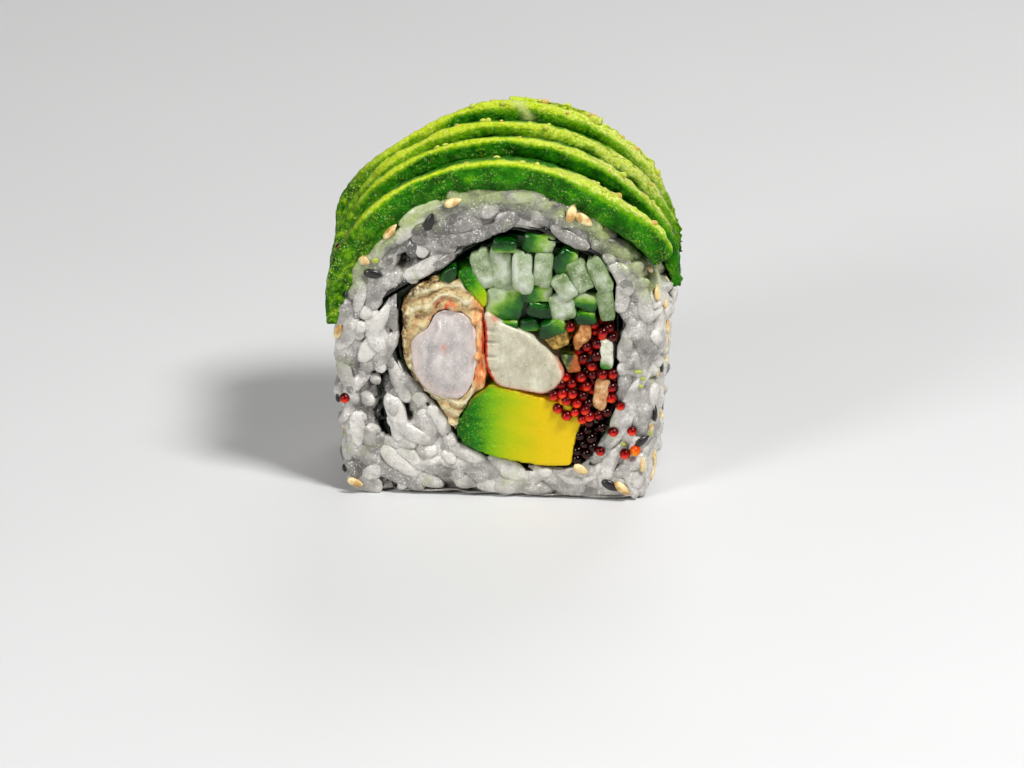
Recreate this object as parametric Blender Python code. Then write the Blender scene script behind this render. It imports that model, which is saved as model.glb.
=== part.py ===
"""One piece of a dragon-style uramaki roll: rice outside, nori inside, avocado slices on top.

Frame: metres, +Z up, origin at the middle of the base. The cut front faces -Y and the roll's own axis is Y,
so every layer and filling runs through the piece from the front cut to the back cut. Outlines are drawn in
the cross-section (X, Z) in millimetres and scaled by MM.
"""

import math

import bmesh
import bpy

MM = 0.001

# The piece.
DEPTH = 26.5 * MM
FRONT = -DEPTH / 2
GAP = 0.3 * MM

# Rice: a half-ellipse standing on nearly straight sides and a flat base.
RICE_HALF_WIDTH = 24.3 * MM
SHOULDER_HEIGHT = 22.0 * MM
CROWN_RISE = 25.9 * MM
BASE_TAPER = 0.8 * MM
BASE_CORNER = 3.0 * MM
# The sides lean in under this height, the right one (1) more than the left one (-1).
LEAN_START = 32.0 * MM
LEAN_REACH = 17.0 * MM
SIDE_LEAN = {1: 2.3 * MM, -1: 0.6 * MM}
EDGE_ROUNDING = 1.0 * MM
WORN_CORNER_INSET = 2.6 * MM
WORN_CORNER_DEPTH = 5.0 * MM
WORN_TOP = SHOULDER_HEIGHT + 0.55 * CROWN_RISE
WORN_FADE = 6.0 * MM
FADE = 3.0 * MM

# The sides' lumps: grains show as waves up the side and along the roll.
LUMP = 0.35 * MM
LUMP_HEIGHT = 1.1 * MM
LUMP_DEPTH = 1.9 * MM
LUMP_SLOW_HEIGHT = 2.3 * MM
LUMP_PHASE = {1: 1.7, -1: 0.4}
MIDDLE_SECTIONS = (-4.5 * MM, -1.0 * MM, 2.5 * MM, 6.0 * MM)

# Nori: one sheet round the fillings, whose tail runs on into the rice at the left.
NORI_THICKNESS = 0.5 * MM
NORI_RECESS = 0.2 * MM
RING_CENTRE = (1.7, 23.2)
RING_RADII = (
    (0, 14.9), (25, 16.4), (45, 18.7), (88, 18.6), (110, 16.9), (133, 16.2),
    (156, 18.0), (190, 16.4), (222, 14.6), (250, 17.3), (297, 20.1), (330, 16.7),
)
TAIL_POINTS = (
    (-11.4, 33.4), (-15.4, 31.1), (-18.3, 28.5), (-19.5, 24.7),
    (-19.1, 19.6), (-17.8, 14.5), (-16.3, 8.9),
)
FORK_POINTS = ((-14.2, 32.2), (-18.4, 29.3), (-17.5, 27.3), (-16.3, 27.9), (-15.4, 28.7))
FORK_CORNER = 0.8

# Fillings: smooth outlines are curves through their points, cut ones are polygons with rounded corners.
PRAWN_POINTS = (
    (-12.7, 25.6), (-12.6, 21.4), (-11.6, 18.3), (-9.0, 16.3), (-6.0, 16.3),
    (-4.4, 18.7), (-4.2, 22.6), (-4.4, 26.7), (-6.4, 28.9), (-10.6, 28.8),
)
BATTER_POINTS = (
    (-15.6, 25.2), (-14.9, 18.7), (-11.4, 14.4), (-7.6, 9.5), (-5.2, 11.6),
    (-2.6, 16.7), (-2.7, 23.2), (-2.8, 28.7), (-4.4, 33.0), (-8.6, 33.8), (-12.6, 33.4),
)
SURIMI_POINTS = (
    (-2.4, 28.9), (-2.4, 24.8), (-2.3, 20.9), (-0.6, 18.0), (2.8, 17.1), (6.6, 16.9),
    (8.9, 19.7), (7.0, 22.9), (3.6, 25.8), (-0.2, 27.4),
)
CHUNK_POINTS = (
    (-1.6, 17.9), (-4.6, 15.4), (-6.3, 11.8), (-6.5, 9.3), (-5.0, 7.1), (2.6, 5.9),
    (10.0, 4.8), (10.2, 8.1), (11.4, 12.2), (10.3, 14.9), (4.0, 16.3),
)
SLIVER_POINTS = ((-6.5, 35.0), (-4.9, 35.8), (-2.4, 31.8), (-2.5, 29.6), (-5.1, 32.6))
CUCUMBER_END_POINTS = ((-9.3, 33.7), (-8.4, 35.2), (-6.9, 36.0), (-6.5, 34.6), (-7.5, 33.4))
CUCUMBER_POINTS = (
    (-6.2, 36.8), (-4.8, 40.5), (2.0, 43.6), (10.0, 41.5), (17.0, 37.5), (18.5, 32.4),
    (18.0, 28.2), (13.2, 28.2), (9.6, 27.2), (6.4, 25.4), (4.4, 24.8), (-3.2, 27.9), (-3.6, 32.4),
)
ROE_POINTS = (
    (13.4, 28.1), (18.5, 28.1), (18.5, 15.0), (15.5, 7.9), (10.5, 3.8), (10.5, 8.1),
    (11.4, 12.2), (10.3, 15.0), (6.9, 15.6), (8.4, 19.1), (9.6, 21.1), (11.2, 23.0), (12.9, 25.2),
)
STRIPS = {
    "strip_olive": ((5.2, 26.2), (9.2, 27.8), (9.8, 24.4), (7.4, 23.3)),
    "strip_tan": ((11.5, 27.8), (13.0, 27.5), (12.9, 25.4), (10.7, 23.2), (10.2, 25.1)),
    "strip_dark": ((8.3, 22.7), (10.9, 22.7), (11.5, 20.0), (9.5, 19.7)),
    "strip_white": ((14.1, 25.4), (16.0, 25.3), (16.1, 20.8), (14.2, 20.7)),
    "strip_pale": ((13.6, 19.1), (15.7, 19.1), (15.1, 14.6), (14.4, 13.9), (13.0, 14.9)),
}
STRIP_CORNER = 0.5
CUT_CORNERS = {"avocado_filling": 0.6, "cucumber": 0.8, "roe": 0.6}

# How far each filling's two cut ends stand out from the rice's cut faces (negative: sunk in).
PROUD = {
    "prawn": 0.5, "batter": 0.1, "surimi": 0.4, "avocado_filling": 0.2, "avocado_sliver": 0.0,
    "cucumber": 0.0, "cucumber_end": 0.1, "roe": -0.3, "strip_olive": 0.1, "strip_tan": 0.2,
    "strip_dark": 0.0, "strip_white": 0.3, "strip_pale": 0.2,
}

# Avocado slices: shingled from front to back over the crown, each dipping under the next one's rim.
# A rim is (distance from the front cut, height over the rice, fall per millimetre behind the rim). The ends
# are angles round the crown. A taper is (degrees from the end over which the slice thins, share left there).
SLICE_RIMS = ((0.3, 4.4, 0.25), (9.6, 4.5, 0.25), (16.4, 4.4, 0.25), (22.4, 5.4, 0.45), (24.4, 4.4, 0.45))
SLICE_TUCK = 3.6 * MM
RIM_ROUNDING = 0.5 * MM
THINNEST = 0.4 * MM
SLICE_ENDS = ((33, 171), (16, 167), (21, 168), (20, 164), (64, 92))
RIGHT_TAPERS = ((9, 0.6), (18, 0.3), (22, 0.3), (38, 0.2), (16, 0.25))
LEFT_TAPERS = ((34, 0.35), (22, 0.45), (20, 0.45), (16, 0.5), (10, 0.4))
DEGREES_PER_STATION = 5

# The fourth slice lies flatter over the left shoulder: its index, the sag's middle angle, reach and depth.
SAGGING = 3
SAG_MIDDLE, SAG_REACH = 121, 26
SAG_DEPTH = 1.0 * MM

# The first slice's right end curls up off the rice: the angles where the curl starts and is full, its lift
# at the rim, and how far behind the rim it dies out.
CURL_START, CURL_FULL = 62, 36
CURL_LIFT = 2.2 * MM
CURL_REACH = 9.0 * MM
SWAY = 0.5 * MM
SWAY_TURNS = 3.1


def clear_scene():
    for existing in list(bpy.data.objects):
        bpy.data.objects.remove(existing)


def food_material(name, colour, roughness):
    material = bpy.data.materials.new(name)
    material.use_nodes = True
    shader = material.node_tree.nodes["Principled BSDF"]
    shader.inputs["Base Color"].default_value = (*colour, 1.0)
    shader.inputs["Roughness"].default_value = roughness
    shader.inputs["Metallic"].default_value = 0.0
    material.diffuse_color = (*colour, 1.0)
    return material


def link_mesh(name, mesh_data, material):
    """Makes a smooth-shaded object from a bmesh whose faces are turned outward."""
    bmesh.ops.recalc_face_normals(mesh_data, faces=mesh_data.faces)
    mesh = bpy.data.meshes.new(name)
    mesh_data.to_mesh(mesh)
    mesh_data.free()
    mesh.shade_smooth()
    mesh.set_sharp_from_angle(angle=math.radians(35))
    item = bpy.data.objects.new(name, mesh)
    bpy.context.scene.collection.objects.link(item)
    if material:
        item.data.materials.append(material)
    return item


def loft(name, sections, material):
    """A closed solid through equal-length loops of 3-D points, with a flat face on each end loop."""
    shape = bmesh.new()
    rings = [[shape.verts.new(point) for point in section] for section in sections]
    for near, far in zip(rings, rings[1:]):
        for i in range(len(near)):
            j = (i + 1) % len(near)
            shape.faces.new((near[i], near[j], far[j], far[i]))
    shape.faces.new(rings[0])
    shape.faces.new(rings[-1])
    return link_mesh(name, shape, material)


def prism(name, outline, front, back, material=None):
    """Extrudes a cross-section outline of (x, z) in metres from y = front to y = back."""
    return loft(name, [[(x, y, z) for x, z in outline] for y in (front, back)], material)


def as_cutter(item):
    item.hide_render = True
    item.display_type = "WIRE"
    return item


def combine(item, operation, *others):
    for other in others:
        modifier = item.modifiers.new(f"{operation.lower()} {other.name}", "BOOLEAN")
        modifier.operation = operation
        modifier.solver = "EXACT"
        modifier.object = other
    return item


def scaled(points):
    return [(x * MM, z * MM) for x, z in points]


def curve_through(points, steps, closed=True):
    """Catmull-Rom curve through (x, z) points, with the given number of steps to a span."""
    count = len(points)
    curve = []
    for i in range(count if closed else count - 1):
        if closed:
            a, b, c, d = (points[(i + k) % count] for k in (-1, 0, 1, 2))
        else:
            a, b, c, d = (points[min(max(i + k, 0), count - 1)] for k in (-1, 0, 1, 2))
        for step in range(steps):
            t = step / steps
            curve.append(tuple(
                0.5 * (2 * b[n] + (c[n] - a[n]) * t
                       + (2 * a[n] - 5 * b[n] + 4 * c[n] - d[n]) * t * t
                       + (3 * b[n] - a[n] - 3 * c[n] + d[n]) * t ** 3)
                for n in (0, 1)))
    return curve if closed else curve + [tuple(points[-1])]


def rounded_polygon(points, radius, steps=3):
    """Replaces each corner of a polygon with a curve that starts and ends radius away from it."""
    outline = []
    for i, corner in enumerate(points):
        before = points[i - 1]
        after = points[(i + 1) % len(points)]
        arms = []
        for other in (before, after):
            length = math.dist(corner, other)
            reach = min(radius, 0.45 * length) / length
            arms.append([corner[n] + (other[n] - corner[n]) * reach for n in (0, 1)])
        for step in range(steps + 1):
            t = step / steps
            shares = (1 - t) ** 2, 2 * t * (1 - t), t * t
            ends = arms[0], corner, arms[1]
            outline.append(tuple(sum(share * end[n] for share, end in zip(shares, ends)) for n in (0, 1)))
    return outline


def signed_area(outline):
    pairs = zip(outline, outline[1:] + outline[:1])
    return 0.5 * sum(a[0] * b[1] - b[0] * a[1] for a, b in pairs)


def grown(outline, distance):
    """Moves each point of a closed outline outward, or inward for a negative distance."""
    turn = 1 if signed_area(outline) > 0 else -1
    moved = []
    for i, point in enumerate(outline):
        before = outline[i - 1]
        after = outline[(i + 1) % len(outline)]
        dx, dz = after[0] - before[0], after[1] - before[1]
        length = math.hypot(dx, dz)
        moved.append((point[0] + turn * distance * dz / length, point[1] - turn * distance * dx / length))
    return moved


def band(path, thickness):
    """The closed outline of a strip of the given thickness along an open path, with a rounded far end."""
    left, right = [], []
    for i, point in enumerate(path):
        before, after = path[max(i - 1, 0)], path[min(i + 1, len(path) - 1)]
        dx, dz = after[0] - before[0], after[1] - before[1]
        length = math.hypot(dx, dz)
        offset = (-dz / length * thickness / 2, dx / length * thickness / 2)
        left.append((point[0] + offset[0], point[1] + offset[1]))
        right.append((point[0] - offset[0], point[1] - offset[1]))
    last, previous = path[-1], path[-2]
    length = math.dist(last, previous)
    tip = tuple(last[n] + (last[n] - previous[n]) / length * thickness / 2 for n in (0, 1))
    return left + [tip] + right[::-1]


def ring_outline():
    polar = [(math.radians(angle), radius) for angle, radius in RING_RADII]
    points = [(RING_CENTRE[0] + r * math.cos(a), RING_CENTRE[1] + r * math.sin(a)) for a, r in polar]
    return scaled(curve_through(points, 6))


def crown_point(angle):
    """A point of the rice's arched top and its outward normal. Angles run from the right shoulder."""
    c, s = math.cos(angle), math.sin(angle)
    nx, nz = CROWN_RISE * c, RICE_HALF_WIDTH * s
    length = math.hypot(nx, nz)
    return (RICE_HALF_WIDTH * c, SHOULDER_HEIGHT + CROWN_RISE * s), (nx / length, nz / length)


def side_points(sign, steps=7):
    """The nearly straight side from the shoulder down, and the rounded corner under it."""
    base_half = RICE_HALF_WIDTH - BASE_TAPER
    points = []
    for step in range(1, steps + 1):
        t = step / steps
        z = SHOULDER_HEIGHT + (BASE_CORNER - SHOULDER_HEIGHT) * t
        points.append((sign * (RICE_HALF_WIDTH - BASE_TAPER * t ** 3), z))
    for step in range(1, 5):
        turn = math.radians(90 * step / 4)
        x = base_half - BASE_CORNER * (1 - math.cos(turn))
        points.append((sign * x, BASE_CORNER * (1 - math.sin(turn))))
    return points


def leaning(x, z):
    """Moves a point of the outline inward with its side's lean, which grows from LEAN_START downward."""
    t = min(max((LEAN_START - z) / LEAN_REACH, 0.0), 1.0)
    lean = SIDE_LEAN[1 if x > 0 else -1] * t * t * (3 - 2 * t)
    return x - lean * x / RICE_HALF_WIDTH, z


def rice_outline():
    """The whole outline anticlockwise from the right shoulder: crown, left side, base, right side."""
    crown = [crown_point(math.radians(180 * step / 48))[0] for step in range(49)]
    left = side_points(-1)
    right = side_points(1)[::-1]
    run = left[-1][0]
    base = [(run - 2 * run * step / 8, 0.0) for step in range(1, 8)]
    return [leaning(x, z) for x, z in crown + left + base + right]


def lump_at(x, y, z):
    """How far the rice bulges at a point of its sides: none on the flat base or under the avocado."""
    clear_of_base = min(max((z - BASE_CORNER) / FADE, 0.0), 1.0)
    clear_of_crown = min(max((SHOULDER_HEIGHT - z) / FADE, 0.0), 1.0)
    phase = LUMP_PHASE[1 if x > 0 else -1]
    quick = math.sin(z / LUMP_HEIGHT + phase) * math.sin(y / LUMP_DEPTH + 2 * phase)
    slow = 0.5 * math.sin(z / LUMP_SLOW_HEIGHT + phase)
    return LUMP * clear_of_base * clear_of_crown * (quick + slow)


def edge_inset(x, z, at_front):
    """How far a cut face's edge is rounded off: a little, and more down the front right corner."""
    inset, reach = EDGE_ROUNDING, EDGE_ROUNDING
    if z < 0.5 * MM:
        return 0.0, reach
    if at_front and x > 0:
        worn = min(max((WORN_TOP - z) / WORN_FADE, 0.0), 1.0)
        inset += (WORN_CORNER_INSET - EDGE_ROUNDING) * worn
        reach += (WORN_CORNER_DEPTH - EDGE_ROUNDING) * worn
    return inset, reach


def rice_point(point, inward, y, inset):
    """A point of the rice's surface, moved in by the inset and out by its lump, never under the base."""
    step_in = inset - lump_at(point[0], y, point[1])
    x, z = (point[n] + (inward[n] - point[n]) * step_in / MM for n in (0, 1))
    return x, y, max(z, 0.0)


def rice_edge_section(outline, t, at_front):
    """One loop of the rounded edge. t runs from 0 at the cut face to 1 where the rounding ends."""
    turn = math.radians(90 * t)
    section = []
    for point, inward in zip(outline, grown(outline, -MM)):
        inset, reach = edge_inset(*point, at_front)
        depth = reach * (1 - math.cos(turn))
        y = FRONT + depth if at_front else -FRONT - depth
        section.append(rice_point(point, inward, y, inset * (1 - math.sin(turn))))
    return section


def rice_middle_section(outline, y):
    return [rice_point(point, inward, y, 0.0) for point, inward in zip(outline, grown(outline, -MM))]


def make_rice(material, ring, tail):
    """The rice: an arched block on a flat base, with a bore for the fillings and a slot for the tail."""
    outline = rice_outline()
    steps = (0.0, 0.35, 0.7, 1.0)
    sections = [rice_edge_section(outline, t, True) for t in steps]
    sections += [rice_middle_section(outline, y) for y in MIDDLE_SECTIONS]
    sections += [rice_edge_section(outline, t, False) for t in steps[::-1]]
    rice = loft("rice", sections, material)
    room = NORI_THICKNESS / 2 + GAP
    fork = scaled(rounded_polygon(FORK_POINTS, FORK_CORNER))
    cutters = (
        prism("rice bore", grown(ring, room), 2 * FRONT, -2 * FRONT),
        prism("rice tail slot", band(tail, 2 * room), 2 * FRONT, -2 * FRONT),
        prism("rice fork", fork, 2 * FRONT, -2 * FRONT),
    )
    return combine(rice, "DIFFERENCE", *(as_cutter(cutter) for cutter in cutters))


def make_nori(material, ring, tail):
    """The nori: a closed wrap round the fillings, joined to the tail that runs out into the rice."""
    front, back = FRONT + NORI_RECESS, -FRONT - NORI_RECESS
    nori = prism("nori", grown(ring, NORI_THICKNESS / 2), front, back, material)
    tail_strip = as_cutter(prism("nori tail", band(tail, NORI_THICKNESS), front, back))
    inside = as_cutter(prism("nori inside", grown(ring, -NORI_THICKNESS / 2), 2 * FRONT, -2 * FRONT))
    combine(nori, "UNION", tail_strip)
    return combine(nori, "DIFFERENCE", inside)


def filling(name, outline, material):
    """One filling run through the piece, standing out of both cut faces by its share in PROUD."""
    reach = PROUD[name] * MM
    return prism(name, outline, FRONT - reach, -FRONT + reach, material)


def clearance(name, outline):
    """A cutter a gap larger than a filling, for the fillings that lie against it."""
    return as_cutter(prism(f"{name} clearance", grown(outline, GAP), 2 * FRONT, -2 * FRONT))


def filling_outlines():
    """Each filling's cross-section in metres, before its neighbours are cut out of it."""
    soft = {"prawn": PRAWN_POINTS, "batter": BATTER_POINTS, "surimi": SURIMI_POINTS}
    cut = {
        "avocado_filling": CHUNK_POINTS, "avocado_sliver": SLIVER_POINTS,
        "cucumber_end": CUCUMBER_END_POINTS, "cucumber": CUCUMBER_POINTS, "roe": ROE_POINTS, **STRIPS,
    }
    outlines = {name: scaled(curve_through(points, 4)) for name, points in soft.items()}
    for name, points in cut.items():
        outlines[name] = scaled(rounded_polygon(points, CUT_CORNERS.get(name, STRIP_CORNER)))
    return outlines


def cut_clear(piece, cutters, names):
    combine(piece, "DIFFERENCE", *(cutters[name] for name in names))


def make_fillings(materials, ring):
    """Everything inside the nori, trimmed to the room in it and to the gaps between neighbours."""
    room = as_cutter(prism("filling room", grown(ring, -NORI_THICKNESS / 2 - GAP), 2 * FRONT, -2 * FRONT))
    outlines = filling_outlines()
    pieces = {name: filling(name, outline, materials[name]) for name, outline in outlines.items()}
    hard = {name: clearance(name, outlines[name]) for name in outlines if name not in ("cucumber", "roe")}
    for piece in pieces.values():
        combine(piece, "INTERSECT", room)
    avocado = ("avocado_filling", "avocado_sliver")
    cut_clear(pieces["batter"], hard, ("prawn", "surimi", *avocado, "cucumber_end"))
    for name in avocado:
        cut_clear(pieces[name], hard, ("surimi",))
    beside_cucumber = ("batter", "surimi", "avocado_sliver", "cucumber_end", "strip_olive", "strip_tan")
    cut_clear(pieces["cucumber"], hard, beside_cucumber)
    cut_clear(pieces["roe"], hard, ("surimi", "avocado_filling", *STRIPS))


def taper(index, angle):
    """A slice's share of its full thickness at an angle round the crown."""
    share = 1.0
    low, high = SLICE_ENDS[index]
    ends = ((angle - low, RIGHT_TAPERS[index]), (high - angle, LEFT_TAPERS[index]))
    for distance, (reach, least) in ends:
        inward = min(max(distance / reach, 0.0), 1.0)
        share *= least + (1 - least) * math.sin(inward * math.pi / 2)
    return share


def curl(y, angle):
    """How far the first slice stands off the rice at a distance from the front cut."""
    round_crown = min(max((CURL_START - angle) / (CURL_START - CURL_FULL), 0.0), 1.0)
    behind = min(max(1 - (y - SLICE_RIMS[0][0] * MM) / CURL_REACH, 0.0), 1.0)
    return CURL_LIFT * round_crown ** 1.5 * behind


def slice_top(index, y, angle):
    """The height wanted for a slice's dipping upper face, at a distance from the front cut."""
    rim, height, fall = SLICE_RIMS[index]
    top = GAP + (height * MM - fall * (y - rim * MM)) * taper(index, angle)
    if index == 0:
        top += curl(y, angle)
    if index == SAGGING:
        top -= SAG_DEPTH * max(1 - ((angle - SAG_MIDDLE) / SAG_REACH) ** 2, 0.0) ** 2
    return top


def slice_reach(index):
    """A slice's rim, where it leaves the slice in front of it, and its end, as distances from the front cut."""
    rim = SLICE_RIMS[index][0] * MM
    end = DEPTH - GAP
    if index < len(SLICE_RIMS) - 2:
        end = min(SLICE_RIMS[index + 1][0] * MM + SLICE_TUCK, end)
    leaves = rim + (CURL_REACH if index == 0 else SLICE_TUCK + GAP)
    return rim, leaves, end


def lower_face(index, y, angle):
    """The height of a slice's underside over the rice where it lies on the slice in front of it."""
    if index == 0:
        return GAP + curl(y, angle)
    line = upper_line(index - 1, angle)
    for (near, start), (far, stop) in zip(line, line[1:]):
        if y <= far:
            return GAP + start + (stop - start) * max(y - near, 0.0) / (far - near)
    return GAP + line[-1][1]


def upper_line(index, angle):
    """The corners of a slice's upper face behind its rim, which keeps THINNEST over what it lies on."""
    rim, leaves, end = slice_reach(index)
    crest = rim + 1.4 * RIM_ROUNDING
    corners = [crest, leaves, end] if leaves < end - 2 * GAP else [crest, end]
    line = []
    for y in corners:
        under = lower_face(index, y, angle) if y <= leaves else GAP
        line.append((y, max(slice_top(index, y, angle), under + THINNEST)))
    return line


def slice_profile(index, angle):
    """The side view of one slice as (distance from the front cut, height over the rice), clockwise."""
    rim, leaves, end = slice_reach(index)
    top = upper_line(index, angle)
    foot = lower_face(index, rim, angle)
    crest = top[0][1]
    rounding = [
        (rim, max(crest - 1.6 * RIM_ROUNDING, foot + 0.4 * THINNEST)),
        (rim + 0.4 * RIM_ROUNDING, max(crest - 0.4 * RIM_ROUNDING, foot + 0.8 * THINNEST)),
    ]
    if index == 0:
        under = [(end, GAP), (leaves, GAP)]
    elif leaves < end - 2 * GAP:
        under = [(end, GAP), (leaves, GAP), (leaves, lower_face(index, leaves, angle))]
    else:
        under = [(end, lower_face(index, end, angle))]
    return rounding + top + under + [(rim, foot)]


def station_angles(low, high):
    """The angles of a slice's sections: its two ends, and between them the ones that all slices share."""
    shared = range(0, 180, DEGREES_PER_STATION)
    return [low] + [angle for angle in shared if low + 1 < angle < high - 1] + [high]


def make_slice(index, material):
    """One avocado slice, its side view carried over the crown from the right end to the left one."""
    sections = []
    for angle in station_angles(*SLICE_ENDS[index]):
        (x, z), (nx, nz) = crown_point(math.radians(angle))
        section = []
        for y, rise in slice_profile(index, angle):
            inside = min(y, DEPTH - y) / (0.5 * DEPTH)
            shift = SWAY * inside * math.sin(math.radians(SWAY_TURNS * angle))
            section.append((x + nx * rise, FRONT + y + shift, z + nz * rise))
        sections.append(section)
    return loft(f"avocado_slice_{index + 1}", sections, material)


def make_materials():
    colours = {
        "rice": ((0.80, 0.79, 0.77), 0.45),
        "nori": ((0.02, 0.03, 0.02), 0.5),
        "prawn": ((0.80, 0.74, 0.72), 0.4),
        "batter": ((0.80, 0.68, 0.42), 0.5),
        "surimi": ((0.84, 0.82, 0.76), 0.4),
        "avocado_filling": ((0.72, 0.66, 0.08), 0.45),
        "avocado_sliver": ((0.55, 0.60, 0.15), 0.45),
        "cucumber_end": ((0.05, 0.22, 0.06), 0.35),
        "cucumber": ((0.62, 0.74, 0.52), 0.3),
        "roe": ((0.50, 0.02, 0.02), 0.2),
        "strip_olive": ((0.48, 0.45, 0.10), 0.4),
        "strip_tan": ((0.70, 0.40, 0.18), 0.4),
        "strip_dark": ((0.20, 0.24, 0.06), 0.4),
        "strip_white": ((0.78, 0.78, 0.60), 0.35),
        "strip_pale": ((0.82, 0.62, 0.42), 0.35),
        "avocado_slices": ((0.28, 0.50, 0.06), 0.4),
    }
    return {name: food_material(name, colour, roughness) for name, (colour, roughness) in colours.items()}


def centre_on_origin():
    """Hangs every object on one empty, shifted so that the origin lies under the middle of the piece."""
    roll = bpy.data.objects.new("roll", None)
    objects = [item for item in bpy.context.scene.objects if item.type == "MESH"]
    solids = [item for item in objects if not item.hide_render]
    across = [corner[0] for item in solids for corner in item.bound_box]
    bpy.context.scene.collection.objects.link(roll)
    for item in objects:
        item.parent = roll
    roll.location.x = -(min(across) + max(across)) / 2


def main():
    clear_scene()
    materials = make_materials()
    ring = ring_outline()
    tail = scaled(curve_through(TAIL_POINTS, 4, closed=False))
    make_rice(materials["rice"], ring, tail)
    make_nori(materials["nori"], ring, tail)
    make_fillings(materials, ring)
    for index in range(len(SLICE_RIMS)):
        make_slice(index, materials["avocado_slices"])
    centre_on_origin()


main()
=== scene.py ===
"""The looks of one uramaki roll piece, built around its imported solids.

Frame: metres, +Z up, the front cut faces -Y and +X is to the right. Places and sizes are written in
millimetres and scaled by MM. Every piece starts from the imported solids: their boxes, their cross-sections
and their surfaces.
"""

import math
import random
from functools import reduce

import bmesh
import bpy
import numpy as np
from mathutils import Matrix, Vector
from mathutils.bvhtree import BVHTree


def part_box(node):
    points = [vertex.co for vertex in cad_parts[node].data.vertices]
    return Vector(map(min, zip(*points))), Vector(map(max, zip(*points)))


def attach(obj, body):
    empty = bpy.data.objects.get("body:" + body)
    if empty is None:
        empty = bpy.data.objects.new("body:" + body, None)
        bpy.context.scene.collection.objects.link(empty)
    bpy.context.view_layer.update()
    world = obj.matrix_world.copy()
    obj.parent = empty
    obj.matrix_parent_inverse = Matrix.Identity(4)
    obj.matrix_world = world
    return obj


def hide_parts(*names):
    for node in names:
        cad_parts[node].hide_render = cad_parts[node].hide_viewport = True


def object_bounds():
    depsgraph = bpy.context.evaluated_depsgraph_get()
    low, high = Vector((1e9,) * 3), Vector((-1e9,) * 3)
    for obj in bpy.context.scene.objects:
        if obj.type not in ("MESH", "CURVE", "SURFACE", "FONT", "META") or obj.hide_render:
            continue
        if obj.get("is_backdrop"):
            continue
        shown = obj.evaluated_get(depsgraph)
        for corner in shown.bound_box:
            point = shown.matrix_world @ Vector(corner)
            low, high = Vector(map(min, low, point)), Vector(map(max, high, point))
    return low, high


MM = 0.001

# Camera: level with the photograph's, a little above the piece and to its right.
CAMERA_AT = (92.8, -1168.7, 486.2)
CAMERA_AIM = (1.9, -13.25, 17.95)
LENS_MM = 303.0

# Rice grains: length, width and thickness of an average cooked grain, and the layers they lie in: how close
# grains may lie, and how deep under the surface their middles are. END_ON is the share that shows an end.
GRAIN_SIZE = (6.9, 2.75, 2.4)
GRAIN_LAYERS = ((1.85, 0.3, 1.3), (2.5, 1.7, 2.4))
GRAIN_TRIES = 16000
END_ON = 0.3
GRAIN_AROUND = 10
GRAIN_ALONG = 9
# How deep under its packed surface the rice's inside lies, and how uneven the knife leaves the cut faces.
CORE_INSET = 0.75
CUT_UNEVEN = 0.4
# Gaps between the grains, as the two ends (x, z) of a slit and its half-width.
POCKETS = (
    (-14.0, 36.2, -11.4, 37.4, 0.6), (-15.2, 29.9, -14.6, 30.6, 0.5), (-17.4, 19.2, -16.5, 16.8, 0.45),
    (-17.9, 13.6, -16.1, 9.9, 0.45), (-14.2, 14.2, -13.4, 11.9, 0.3), (-14.9, 24.4, -14.2, 20.4, 0.3),
    (-16.3, -1.0, -16.4, 1.2, 0.3), (3.6, -1.0, 3.4, 0.4, 0.3),
)

# The avocado slices lie over a half-ellipse: its half-width, its rise, and the height it starts from.
CROWN = (24.3, 25.9, 22.0)
ANGLE_STEPS = 40
# How far the pale colour of each slice's crest reaches, front to back, and the crumbs on a crest.
CREST_REACH = (1.0, 1.05, 1.65, 1.75, 1.5)
CREST_CRUMBS = 15

# Cucumber sticks: x, z, width, height, turn in degrees, the direction of the skin, and how far it reaches.
STICKS = (
    (0.9, 39.3, 3.3, 1.8, -3, 100, 0.4), (5.6, 39.6, 4.6, 2.7, -5, 170, 0.15),
    (-2.5, 35.3, 2.9, 5.6, 13, 0, 0), (0.4, 35.5, 3.1, 5.9, 3, 0, 0), (3.4, 35.3, 3.0, 5.8, -1, 0, 0),
    (6.3, 35.7, 2.7, 5.0, -5, 0, 0), (9.3, 37.0, 2.5, 3.8, -35, 200, 0.45),
    (9.6, 33.3, 2.7, 3.9, 35, 0, 0), (11.8, 35.1, 2.7, 4.5, 25, 0, 0), (14.5, 35.3, 2.3, 5.0, 25, 0, 0),
    (15.5, 30.5, 2.4, 4.8, 10, 0, 0), (0.7, 30.1, 5.2, 4.8, -5, -40, 0.12),
    (5.4, 31.9, 4.7, 2.8, 0, 185, 0.2), (9.2, 30.1, 3.5, 3.9, 15, 0, 0),
    (12.6, 31.0, 3.5, 2.6, -25, -60, 0.2), (12.6, 28.6, 2.8, 1.8, 0, 240, 0.5),
    (6.4, 29.2, 4.3, 2.2, -12, 270, 0.7), (1.5, 26.9, 2.4, 1.4, 0, 270, 0.5),
    (4.3, 27.0, 2.6, 1.7, 5, 90, 0.5), (7.7, 26.8, 3.7, 2.4, 20, 200, 0.45),
)
STICK_AROUND = 28
STICK_ALONG = 13
# How a stick narrows to the middle of its cut face, as shares of its size.
STICK_CAP = (0.0, 0.55, 0.82, 0.93, 0.985, 1.0)

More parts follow.
